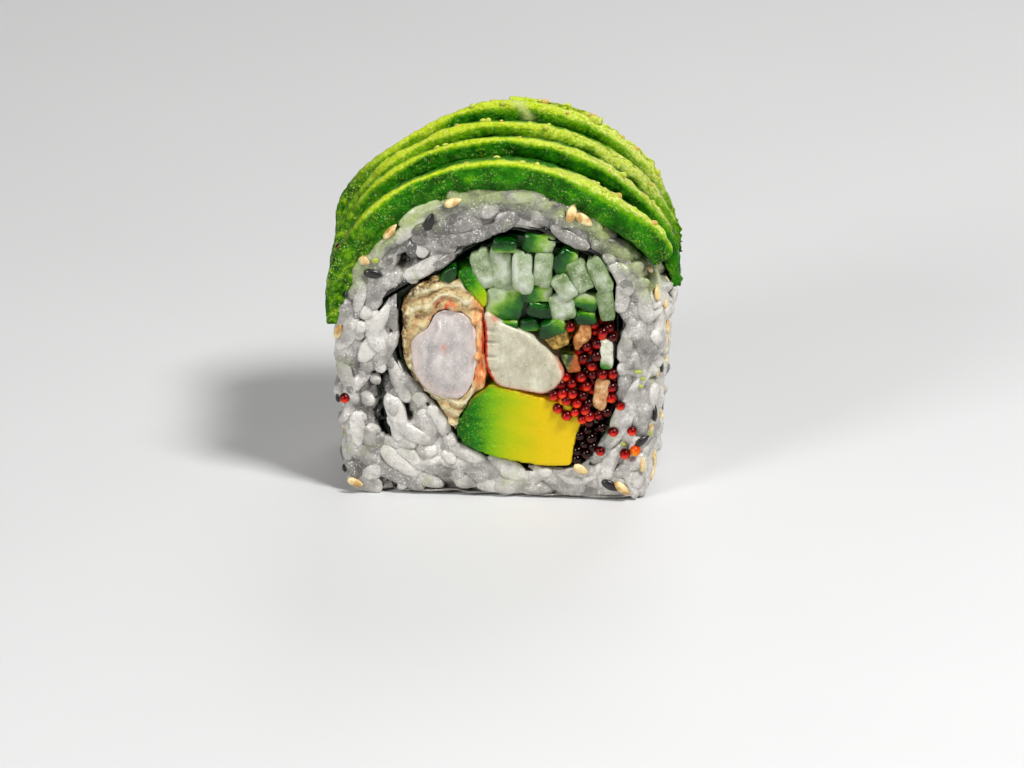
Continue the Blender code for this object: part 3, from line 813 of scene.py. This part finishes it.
def grains_in_layer(tree, shape, draw, spacing, shallow, deep):
    """The points and the tone of every grain in one layer of the rice's skin."""
    for point, normal in scattered(GRAIN_TRIES, spacing, "rice", rice_wanted, 11):
        if pocket_distance(point[None])[0] < 1.0:
            continue
        depth = draw.uniform(shallow, deep)
        centre, along, out = lay_grain(tree, Vector(point), normal, depth, draw)
        if out > 0.9:
            continue
        sizes = np.array([size * draw.uniform(0.84, 1.14) for size in GRAIN_SIZE])
        if out > 0.35:
            sizes[0] *= 0.72
        side = normal.cross(along).normalized()
        axes = np.array([along, side, along.cross(side)]) * (sizes[:, None] * MM / 2)
        bend = draw.uniform(-0.35, 0.35) * shape[:, 0] ** 2
        taper = 1 - draw.uniform(0, 0.2) * (shape[:, 0] + 1) / 2
        local = np.stack([shape[:, 0], shape[:, 1] * taper + bend, shape[:, 2] * taper], axis=1)
        grain = local @ axes + np.array(centre)
        lowest = grain[:, 2].min()
        if lowest < 0.3 * MM:
            grain[:, 2] += min(draw.uniform(0, 0.9) * MM - lowest, 1.6 * MM)
        # Deeper grains get a darker tone: painted shade.
        yield grain, draw.gauss(0.55, 0.16) - 0.22 * depth


def out_of_bore(points, tree):
    """Moves what stands too far into the bore round the fillings back towards its wall."""
    middle = (across(points) - np.array(NORI_MIDDLE)) / MM
    allowed = 0.7 + 0.45 * waves(points, 3.0, 9)
    for i in np.flatnonzero(np.hypot(*middle.T) < 21.5):
        point = Vector(points[i])
        nearest, normal, _, distance = tree.find_nearest(point)
        toward = Vector((NORI_MIDDLE[0] - nearest.x, 0, NORI_MIDDLE[1] - nearest.z))
        away = point - nearest
        if away.dot(normal) > 0 and abs(normal.y) < 0.6 and normal.dot(toward) > 0:
            points[i] = nearest + away * min(1.0, max(allowed[i], 0.0) * MM / distance)


def make_rice():
    """Separate cooked grains in two layers, over the rice's smaller inside."""
    tree, look, draw = surface("rice"), rice_look(), random.Random(7)
    shape, quads = unit_grain()
    laid = [grain for layer in GRAIN_LAYERS for grain in grains_in_layer(tree, shape, draw, *layer)]
    shapes, tones = zip(*laid)
    item = alike("rice_grains", shapes, quads)
    points = np.concatenate(shapes)
    points = pushed(points, normals(item), 0.24 * waves(points, 1.8, 2) + 0.12 * waves(points, 0.9, 3))
    uneven_cut(points)
    out_of_bore(points, tree)
    points[:, 2] = np.maximum(points[:, 2], 0.0)
    put(item, points)
    height = points[:, 2] / MM
    # Painted shade: the grains darken towards the top, under the slices.
    tones = np.repeat(tones, len(shape)) + 0.3 - 0.42 * ease(height, 32, 40)
    # Painted shade: a darker green tint where the rice lies close under the slices.
    shaded = ease(np.abs(slice_height(points)[1]), 3.6, 0.6) * ease(height, 30, 34)
    paint(item, tone=tones, stain=0.7 * shaded)
    finished(item, look, "rice")

    item, points, skin = even_copy("rice", "rice_core", 0.6, 1)
    height = points[:, 2] / MM
    from_nori = rim_distance(points, "nori")
    open_slit = ease(pocket_distance(points), 0.7, 0.1)
    sink = CORE_INSET + 0.35 * waves(points, 2.2, 3) + 0.15 * waves(points, 0.9, 4) + 1.8 * open_slit
    sink += 1.3 * ease(height, 2.6, 0.8) * ease(np.hypot(skin[:, 0], skin[:, 1]), 0.5, 0.9)
    sink *= 0.75 + 0.25 * ease(height, 0.2, 1.2)
    wall = (np.abs(skin[:, 1]) < 0.5) & (from_nori < 1.2)
    put(item, pushed(points, skin, -np.where(wall, 0.1, sink)))
    # Painted shade: the core is near-black green in the open slits and along the nori.
    paint(item, tone=0.42, pocket=np.maximum(np.maximum(0.03, open_slit), ease(from_nori, 0.9, 0.6)))
    finished(item, look, "rice", "rice")


def make_nori():
    """The sheet, gently crumpled, with ragged edges at both cuts."""
    item, points, _ = even_copy("nori", "nori_sheet", 0.48, 1)
    flat = points * (1, 0.25, 1)
    for axis, seed in ((0, 21), (2, 22)):
        points[:, axis] += 0.22 * MM * waves(flat, 2.2, seed, 2)
    near_end = ease(np.abs(points[:, 1]), END - 2 * MM, END)
    push_out(points, -near_end * (0.7 + 0.5 * waves(points, 1.6, 23, 2)))
    put(item, points)
    finished(item, nori_look(), "nori", "nori")


def slice_height(points):
    """Angle round the crown in degrees, and height over the rice in millimetres."""
    x = (points[:, 0] / MM - RICE_X) / CROWN[0]
    z = (points[:, 2] / MM - CROWN[2]) / CROWN[1]
    radius = np.hypot(x, z)
    local = np.hypot(CROWN[0] * x, CROWN[1] * z) / np.maximum(radius, 1e-6)
    return np.degrees(np.arctan2(z, x)), (radius - 1) * local


def by_angle(angle, values, pick):
    """The largest or smallest value at each angle round the crown, for every point."""
    edges = np.linspace(angle.min(), angle.max(), ANGLE_STEPS + 1)
    bins = np.clip(np.digitize(angle, edges) - 1, 0, ANGLE_STEPS - 1)
    known = [k for k in range(ANGLE_STEPS) if np.any(bins == k)]
    found = [pick(values[bins == k]) for k in known]
    return np.interp(angle, ((edges[1:] + edges[:-1]) / 2)[known], found)


def make_slice(index, look):
    """One slice, its crest wider and leaning back to the right. Returns points, normals, and the crest."""
    node = f"avocado_slice_{index}"
    item, points, skin = even_copy(node, f"slice_{index}", 0.3, 2)
    angle, height = slice_height(points)
    below = by_angle(angle, height, np.max) - height
    rim_y = by_angle(angle, points[:, 1], np.min)
    behind = (points[:, 1] - rim_y) / MM
    right = ease(angle, 92, 50)
    band = 0.75 + 0.5 * right + 0.3 * waves(points, 4.0, 40 + index)
    turn = np.radians(angle)
    out = np.stack([np.cos(turn) * CROWN[1], 0 * turn, np.sin(turn) * CROWN[0]], axis=1)
    out /= np.linalg.norm(out, axis=1)[:, None]
    facing = np.sum(skin * out, axis=1)
    sink = ease(-facing, 0.2, 0.7) * (0.9 if index > 1 else 0.5)
    sink += ease(facing, 0.2, 0.7) * 0.1 * np.clip(behind - 0.8 - band * right, 0, 6)
    points = pushed(points, out, -sink)
    slant = rim_y + np.clip(band - below, 0, None) * right * 1.1 * MM
    points[:, 1] = np.maximum(points[:, 1], slant)
    if index == 1:
        points[:, 1] -= 0.8 * MM * ease(behind, 2.0, 0.5) * ease(height, 0.3, 1.5)
    relief = 0.14 * waves(points, 0.8, 50 + index, 2) + 0.25 * waves(points, 4.5, 60 + index)
    rough = ease(below, 1.0, 0.2) * (waves(points, 1.4, 70 + index, 2) - 0.6)
    points = pushed(points, skin, relief + (0.2 + 0.1 * index) * right * rough)
    put(item, points)
    from_crest = np.maximum(below / band, (behind - right * 2.0) / (1.1 + 1.1 * right))
    from_crest /= CREST_REACH[index - 1]
    at_end = 1.1 * ease(angle + 5 * waves(points, 3.0, 45 + index), 52, 12)
    streak = ridge(angle + 2 * below, 88.5, 1.6) * ease(below, 3.2, 2.2) * (index == 4)
    paint(item, from_crest=from_crest + at_end, wide=right, side=ease(angle, 122, 150), streak=streak)
    finished(item, look, "avocado_skin_side", node)
    return points, skin, (below < 0.5) & (behind < 2.5 + index) & (angle < 112) & (angle > 38)


def make_slices():
    """The five slices. Returns places on their crests, with normals, for the crumbs."""
    look, draw = slice_look(), np.random.default_rng(61)
    spots = []
    for index in range(1, 6):
        points, skin, crest = make_slice(index, look)
        chosen = draw.choice(np.flatnonzero(crest), CREST_CRUMBS, replace=False)
        spots += [(points[i], skin[i]) for i in chosen]
    return spots


def swollen(points, skin):
    """Swells a filling piece behind its cut faces, so that no light shows between it and its neighbours."""
    return pushed(points, skin, SWELL * ease(np.abs(points[:, 1]), END - 1.5 * MM, END - 4 * MM))


def prawn_corner(points):
    """Draws the prawn's upper left corner in, with the batter that lies round it."""
    low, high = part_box("prawn")
    away = across(points) - np.array((low.x + 1.2 * MM, high.z - 1.8 * MM))
    near = np.exp(-np.sum(away ** 2, axis=1) / (2 * (1.7 * MM) ** 2))
    return pushed(points, np.array([(1.25, 0, -0.95)]), near)


def make_prawn():
    """The prawn: bulging cut faces, with a shallow valley that parts off a narrow lobe at the left."""
    item, points, skin = even_copy("prawn", "prawn_flesh", 0.28)
    x, z = from_corner(points, "prawn")
    edge = rim_distance(points, "prawn")
    on_cut = ease(np.abs(skin[:, 1]), 0.3, 0.7)
    valley = ridge(x + 0.015 * (z - 6.5) ** 2, 2.1, 0.4) * ease(z, 1.5, 3.5) * ease(z, 11.5, 9)
    uneven = 0.25 * waves(points * (1, 0.3, 0.8), 2.6, 73, 2)
    push_out(points, on_cut * (0.75 * ease(edge, 0, 2.5) - 0.3 - 0.35 * valley + uneven))
    lobes = 0.3 + 0.35 * waves(points * (1, 0.3, 0.8), 3.2, 71) + 0.12 * waves(points, 1.0, 72, 2)
    put(item, prawn_corner(pushed(points, skin, (1 - on_cut) * lobes)))
    spot = np.hypot(x - 4.4, (z - 7.4) * 0.6)
    paint(item, blush=ease(spot, 0.9, 0.1) * 0.7, edge=ease(edge, 1.0, 0.1))
    finished(item, prawn_look(), "prawn", "prawn")


def make_batter():
    """The batter: thin folds that follow the prawn, brown against the nori and orange at the right."""
    item, points, skin = even_copy("batter", "batter_crust", 0.28, 1)
    x, z = from_corner(points, "batter")
    from_prawn, from_nori = rim_distance(points, "prawn"), rim_distance(points, "nori")
    fold = np.sin(2 * np.pi * (from_prawn + 1.1 * waves(points * (1, 0.2, 1), 2.6, 82)) / 1.9)
    crack = 0.5 * ease(fold, -0.8, -0.97) * ease(from_prawn, 0.3, 0.8)
    crack *= ease(waves(points, 2.4, 83), 0.15, 0.45)
    for hole_x, hole_z, size in BATTER_HOLES:
        hole = ease(np.hypot(x - hole_x, (z - hole_z) * 0.7), size + 0.3, size - 0.2)
        crack = np.maximum(crack, hole)
    on_cut = ease(np.abs(skin[:, 1]), 0.3, 0.7)
    relief = 0.12 + 0.28 * waves(points * (1, 0.35, 1), 1.3, 81, 3)
    push_out(points, on_cut * (0.25 * fold - 0.8 * crack + 0.35 * waves(points, 1.1, 84, 2)))
    points = prawn_corner(swollen(pushed(points, skin, relief), skin))
    put(item, points)
    from_right = (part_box("batter")[1].x - points[:, 0]) / MM
    inner = ridge(from_right, 1.75, 0.3) * ease(z, 7.5, 9) * ease(z, 18, 15)
    outer = ridge(from_right, 0.35, 0.3) * ease(z, 11, 13) * ease(z, 22, 20)
    # Painted shade in the fold valleys, cracks and holes; painted highlights on the fold ridges.
    paint(
        item, crack=0.7 * crack * on_cut, crease=0.5 - 0.5 * fold,
        crust=ease(from_nori, 1.3, 0.6) * ease(z, 2, 12) * ease(x, 9, 6),
        orange=ease(from_right, 2.4, 1.2) * ease(z, 5, 9),
        red_line=np.maximum(inner, outer) * on_cut,
        spots=ease(np.hypot((x - 6.3) * 0.7, z - 20.0), 1.6, 0.6) + 0.4 * ease(from_prawn, 0.7, 0.3),
    )
    finished(item, batter_look(), "batter", "batter")


def make_surimi():
    """The fish stick's cut face: its thin red skin shows at the left and below, with small notches."""
    item, points, skin = even_copy("surimi", "surimi_flesh", 0.28, 1)
    x, z = from_corner(points, "surimi")
    left = ease(x, 2.2, 1.2) * ease(z, 12.5, 10.5)
    lower = 0.6 * ease(z - 0.25 * x, 2.6, 1.6)
    right = 0.4 * ease(z + 0.9 * x, 9.0, 11.5) * ease(z, 6.5, 4.5)
    paint(item, stained=np.maximum(np.maximum(left, lower), right), rim=rim_distance(points, "surimi"))
    notch = sum(ridge(z, height, 0.16) for height in SURIMI_NOTCHES) * ease(x, 2.4, 0.6)
    points = pushed(points, skin, 0.12 + 0.12 * waves(points, 2.5, 91, 2))
    push_out(points, -0.7 * notch * (np.abs(skin[:, 1]) > 0.4))
    put(item, swollen(points, skin))
    finished(item, surimi_look(), "surimi", "surimi")


def make_filling_avocado():
    look = filling_avocado_look()
    for node, name, reach, tilt, start, browned in FILLING_AVOCADO:
        item, points, skin = even_copy(node, name, 0.28, 0)
        x, z = from_corner(points, node)
        share = np.clip((x - tilt * z + start + 0.5 * waves(points, 3.0, 101)) / reach, 0, 1)
        granular = ease(share, 0.35, 0.1)
        relief = 0.1 + 0.07 * waves(points, 2.5, 102, 2) + 0.16 * granular * waves(points, 0.7, 103, 2)
        put(item, swollen(pushed(points, skin, relief), skin))
        from_top = (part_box(node)[1].z - points[:, 2]) / MM
        top_edge = ease(rim_distance(points, node), 0.4, 0.1) * ease(from_top, 4, 2.5) * browned
        paint(item, from_skin=share, top_edge=top_edge)
        finished(item, look, "avocado", node)


def stick_shape(spec, draw):
    """One stick of cucumber from cut to cut: points, nearness to the skin, and to the cut's edge."""
    x, z, width, height, turn, skin, reach = spec
    corners = np.array([draw.uniform(0.92, 1.12) for _ in range(4)])
    drift = [draw.uniform(-0.5, 0.5) for _ in range(2)]
    twist = draw.uniform(-8, 8)
    front, back = -END + draw.uniform(-0.5, 0.7) * MM, END - draw.uniform(-0.5, 0.7) * MM
    size = np.array(STICK_CAP + (1.0,) * STICK_ALONG + STICK_CAP[::-1])[:, None]
    t = np.clip((np.arange(len(size))[:, None] - len(STICK_CAP) + 1) / (STICK_ALONG + 1), 0, 1)
    a = 2 * np.pi * np.arange(STICK_AROUND) / STICK_AROUND
    blunt = (abs(np.cos(a)) ** 6 + abs(np.sin(a)) ** 6) ** (-1 / 6) * np.repeat(corners, STICK_AROUND // 4)
    u, v = np.cos(a) * blunt * size, np.sin(a) * blunt * size
    r, d = np.radians(turn + twist * t), math.radians(skin)
    wide, high = u * width / 2, v * height / 2
    points = np.stack([
        (x + drift[0] * t + wide * np.cos(r) - high * np.sin(r)) * MM,
        front + (back - front) * t + 0.3 * MM * (1 - size ** 6) * np.where(t < 0.5, -1, 1) + 0 * u,
        (z + drift[1] * t + wide * np.sin(r) + high * np.cos(r)) * MM,
    ], axis=2)
    near = (0.35 + 0.4 * (u * math.cos(d) + v * math.sin(d)) + reach) * (reach > 0)
    return points.reshape(-1, 3), near.ravel(), np.repeat(np.maximum(size ** 3 - 0.2, 0), STICK_AROUND)


def make_cucumber():
    """The bundle: separate sticks over a core painted dark green as the shade between them, and the small end
    piece.
    """
    look, draw = cucumber_look(), random.Random(17)
    shapes, near, rims, tones = [], [], [], []
    for spec in STICKS:
        for kept, found in zip((shapes, near, rims), stick_shape(spec, draw)):
            kept.append(found)
        tones.append(draw.uniform(-0.06, 0.12) - 0.01 * max(spec[0], 0))
    item = alike("cucumber_sticks", shapes, tube(2 * len(STICK_CAP) + STICK_ALONG, STICK_AROUND))
    paint(item, skin=np.concatenate(near), rim=0.6 * np.concatenate(rims))
    paint(item, tone=np.repeat(tones, len(shapes[0])))
    clean = bmesh.new()
    clean.from_mesh(item.data)
    bmesh.ops.remove_doubles(clean, verts=clean.verts, dist=1e-7)
    clean.to_mesh(item.data)
    clean.free()
    points = places(item)
    put(item, pushed(points, normals(item), 0.12 * waves(points * (1, 0.4, 1), 1.6, 111, 2)))
    finished(item, look, "cucumber")

    item, points, skin = even_copy("cucumber", "cucumber_core", 0.5)
    put(item, swollen(points - skin * (0.9 * MM), skin) * (1, 1 - 1.2 * MM / END, 1))
    # The core, painted as deep-green skin, stands for the shade between the sticks.
    paint(item, skin=1)
    finished(item, look, "cucumber", "cucumber")

    item, points, skin = even_copy("cucumber_end", "cucumber_skin_piece", 0.2, 2)
    points = pushed(points, skin, 0.1 * waves(points, 0.9, 112, 2))
    put(item, points)
    paint(item, skin=0.8 + 0.3 * waves(points, 1.5, 113))
    finished(item, look, "cucumber", "cucumber_end")


def make_strips():
    """The roe-stained strips, each with its own flesh and a second colour at one side."""
    for seed, (kind, *stops, second, (right, up), start) in enumerate(STRIPS):
        node = f"strip_{kind}"
        item, points, skin = even_copy(node, f"stained_{node}", 0.26, 2)
        low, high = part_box(node)
        from_middle = (points - np.array((low + high) / 2)) / np.array((high - low) / 2)
        share = from_middle[:, 0] * right + from_middle[:, 2] * up
        paint(item, skin=ease(share + 0.3 * waves(points, 1.2, 121 + seed), start, start + 0.5))
        put(item, swollen(pushed(points, skin, 0.07 * waves(points, 1.1, 131 + seed, 2)), skin))
        finished(item, strip_look(f"stained_{kind}", stops, second), "stained_cucumber", node)


def seat(x, z, tree, out):
    """Where a thing that covers the front's (x, z) touches, moved out by millimetres, and its normal."""
    front = Vector((x * MM, -END, z * MM))
    way = (front - Vector(CAMERA_AT) * MM).normalized()
    hit, normal, _, _ = tree.ray_cast(front - way * END, way)
    if hit is None:
        hit, normal, _, _ = tree.find_nearest(front + way * END * 0.4)
    elif hit.y > -END + 1 * MM and abs(x) < 18:
        hit, normal = front, Vector((0, -1, 0))
    return hit + normal * out * MM, normal


def packed_eggs(draw):
    """Egg centres filling the roe's two cut faces, two layers deep, and lying closer than they are wide."""
    low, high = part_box("roe")
    centres = []
    for end in (-1, 1):
        for layer in range(2):
            spots = [(draw.uniform(low.x, high.x), draw.uniform(low.z, high.z)) for _ in range(EGG_TRIES)]
            spots, found = np.array(spots), []
            for x, z in spots[inside(spots, "roe")]:
                y = end * (END - (0.35 + layer * 1.1 + draw.uniform(-0.25, 0.25)) * MM)
                if all(math.dist((x, y, z), other) > EGG_SPACING * MM for other in found):
                    found.append((x, y, z))
            centres += found
    return centres


def egg_axes(draw):
    radius = EGG / 2 * draw.uniform(0.88, 1.06) * MM
    return np.diag([radius, radius * draw.uniform(0.95, 1.03), radius])


def glowing(ball, tones):
    """Every egg's tone at each of its points: painted light gathers low in an egg, on the side of its cut,
    and painted shade darkens its top and rim.
    """
    y, z = np.abs(ball[:, 1]), ball[:, 2]
    low = 0.85 * ease(y * 0.65 - z * 0.7, 0.4, 0.92) * ease(y, 0.1, 0.6)
    high = -0.3 * ease(z, 0.1, 0.9) - 0.35 * ease(y, 0.6, 0.1)
    tones = np.array(tones)[:, None]
    return (tones + (low + high) * (0.15 + tones)).ravel()


def make_eggs(name, look, draw, centres, tones):
    ball, faces = blob(3)
    item = joined(name, ball, faces, [egg_axes(draw) for _ in centres], centres)
    paint(item, tone=glowing(ball, tones))
    finished(item, look, "roe")


def make_roe():
    """Packed eggs over a core painted dark as shade, and loose ones in two colours."""
    draw, tree = random.Random(23), surface(*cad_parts)
    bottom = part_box("roe")[0].z
    centres = packed_eggs(draw)
    # Lower packed eggs get a darker tone: painted shade.
    tones = [draw.uniform(0.1, 0.5) * ease(z, bottom + 5 * MM, bottom + 10 * MM) for _, _, z in centres]
    for x, z in LOOSE_EGGS:
        centres.append(seat(x, z, tree, 0.0 if x < -20 else 0.4)[0])
        tones.append(draw.uniform(0.4, 0.52) if abs(x) > 16 else 0.32)
        if 16 < abs(x) < 20:
            centres.append((-x * 0.93 * MM, END + 0.25 * MM, z * MM))
            tones.append(draw.uniform(0.5, 0.65))
    for x, z in CLUSTER_EGGS:
        centres.append((x * MM, -END - draw.uniform(0.3, 0.7) * MM, z * MM))
        tones.append(draw.uniform(0.34, 0.52))
    red = egg_look("roe_red", (0.0, 14, 0, 0), (0.3, 80, 0, 0), (0.62, 196, 6, 0), (0.95, 252, 70, 10))
    make_eggs("roe_eggs", red, draw, centres, tones)
    orange = egg_look("roe_orange", (0.2, 210, 60, 4), (0.9, 255, 150, 10))
    centres = [seat(x, z, tree, 0.4)[0] for x, z in ORANGE_EGGS]
    make_eggs("roe_eggs_orange", orange, draw, centres, [0.4] * len(centres))

    item, points, _ = even_copy("roe", "roe_core", 0.45)
    points[:, 1] *= 1 - 1.3 * MM / END
    skin = normals(item)
    put(item, swollen(pushed(points, skin, 0.15 * waves(points, 1.2, 141)), skin))
    finished(item, jelly_look(), "roe", "roe")


def seed_shape():
    """A flat teardrop of unit half-sizes, pointed at +X."""
    points, faces = blob(2)
    narrow = 1 - 0.32 * (points[:, 0] + 1) / 2 - 0.25 * ease(points[:, 0], 0.3, 1.0)
    return points * np.stack([np.ones(len(points)), narrow, narrow], axis=1), faces


def seed_axes(normal, turn, draw):
    """Axes of a seed lying on a surface, its long axis turned round the normal by degrees."""
    level = Vector((1, 0, 0)) if abs(normal.x) < 0.8 else Vector((0, 1, 0))
    first = (level - level.dot(normal) * normal).normalized()
    second = normal.cross(first)
    if abs(normal.y) > 0.5 and second.z <= 0:
        second = -second
    a = math.radians(turn)
    along = first * math.cos(a) + second * math.sin(a)
    sizes = [size * draw.uniform(0.88, 1.1) * MM / 2 for size in SEED_SIZE]
    return np.array([along * sizes[0], normal.cross(along) * sizes[1], normal * sizes[2]])


def beside(point, normal):
    """Scattered seeds lie on the sides and the back."""
    on_side = abs(normal[0]) > 0.8 and abs(point[0]) > 20 * MM
    return point[2] > 2.5 * MM and (on_side or normal[1] > 0.8)


def make_seeds():
    """Sesame seeds: named ones on the front, scattered ones on the sides and the back."""
    draw, tree = random.Random(31), surface("rice", "avocado_slice_1")
    shape, faces = seed_shape()
    kinds = {"pale": [], "dark": []}
    for spot, normal in scattered(3000, 5.2, "rice", beside, 37):
        kind = "dark" if draw.random() < 0.3 and spot[0] < 20 * MM else "pale"
        place = Vector(spot) + normal * 0.3 * MM
        kinds[kind].append((place, seed_axes(normal, draw.uniform(0, 180), draw)))
    for kind, listed, look in (
        ("pale", PALE_SEEDS, seed_look("sesame_golden", (190, 140, 62), (242, 222, 166))),
        ("dark", DARK_SEEDS, seed_look("sesame_dark", (8, 7, 8), (30, 26, 26))),
    ):
        for x, z, turn in listed:
            place, normal = seat(x, z, tree, 0.4)
            kinds[kind].append((place, seed_axes(normal, turn, draw)))
        centres, axes = zip(*kinds[kind])
        finished(joined(f"sesame_{kind}", shape, faces, axes, centres), look, "rice")


def make_crumbs(rough_spots):
    """Avocado crumbs: yellow-green and tan ones along the slices' crests, and green ones on the rice."""
    draw, tree = random.Random(43), surface("rice", "avocado_slice_1")
    shape, faces = blob(2)
    shape = shape * (1 + 0.3 * waves(shape * MM, 0.9, 151))[:, None]
    for kind, spots, dark, light in (
        ("yellow", rough_spots[::2], (150, 176, 10), (226, 226, 96)),
        ("tan", rough_spots[1::4], (196, 140, 50), (222, 196, 110)),
        ("green", [seat(x, z, tree, 0.1) for x, z in CRUMBS], (134, 150, 30), (196, 204, 96)),
    ):
        axes = []
        for _ in spots:
            size = draw.uniform(0.22, 0.6) * MM
            axes.append(np.diag([size * draw.uniform(0.8, 1.6), size * 0.7, size * draw.uniform(0.5, 1.3)]))
        item = joined(f"crumbs_{kind}", shape, faces, axes, [spot for spot, _ in spots])
        finished(item, crumb_look(f"crumb_{kind}", dark, light), "avocado_skin_side")


# ---------------- stage


def look_at(name, data, place, target):
    """A lamp or a camera at a place, in metres, turned to a target."""
    item = link(name, data)
    item.location = place
    item.rotation_euler = (Vector(target) - Vector(place)).to_track_quat("-Z", "Y").to_euler()
    return item


def make_stage():
    floor = mesh_item("floor", [(-2, -2, 0), (2, -2, 0), (2, 2, 0), (-2, 2, 0)], [(0, 1, 2, 3)])
    floor.data.shade_flat()
    paper = Look("floor_paper", Roughness=0.6)
    paper.lay(paper.mix(paper.noise(60, 2), (214, 214, 214), (220, 220, 220)))
    floor.data.materials.append(paper.material)
    floor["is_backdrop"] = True
    for name, place, size, power in LAMPS:
        lamp = bpy.data.lights.new(name, "AREA")
        lamp.size = size
        lamp.energy = power
        look_at(name, lamp, place, (0, 0, 0.025))
    world = bpy.data.worlds.new("studio")
    world.use_nodes = True
    background = world.node_tree.nodes["Background"]
    background.inputs["Color"].default_value = (0.9, 0.88, 0.85, 1)
    background.inputs["Strength"].default_value = 0.1
    bpy.context.scene.world = world
    bpy.context.scene.view_settings.view_transform = "Standard"


def make_camera():
    camera = bpy.data.cameras.new("camera")
    camera.lens = LENS_MM
    camera.clip_start = 0.05
    place, target = Vector(CAMERA_AT) * MM, Vector(CAMERA_AIM) * MM
    bpy.context.scene.camera = look_at("camera", camera, place, target)


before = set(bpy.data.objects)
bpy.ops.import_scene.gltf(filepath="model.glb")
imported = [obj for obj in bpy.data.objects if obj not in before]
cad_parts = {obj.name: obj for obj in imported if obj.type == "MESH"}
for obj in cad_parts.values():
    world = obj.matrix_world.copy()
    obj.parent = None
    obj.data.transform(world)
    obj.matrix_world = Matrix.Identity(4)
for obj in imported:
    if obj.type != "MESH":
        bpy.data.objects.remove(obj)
CAD_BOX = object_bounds()
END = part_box("rice")[1].y
RICE_X = sum(corner.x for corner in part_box("rice")) / 2 / MM
NORI_MIDDLE = (RICE_X * MM + 1.7 * MM, 23.2 * MM)

make_camera()
make_stage()
make_rice()
make_nori()
rough_spots = make_slices()
make_prawn()
make_batter()
make_surimi()
make_filling_avocado()
make_cucumber()
make_strips()
make_roe()
make_seeds()
make_crumbs(rough_spots)

boxes = {"cad": CAD_BOX, "visual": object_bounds()}
{name: [list(corner) for corner in box] for name, box in boxes.items()}
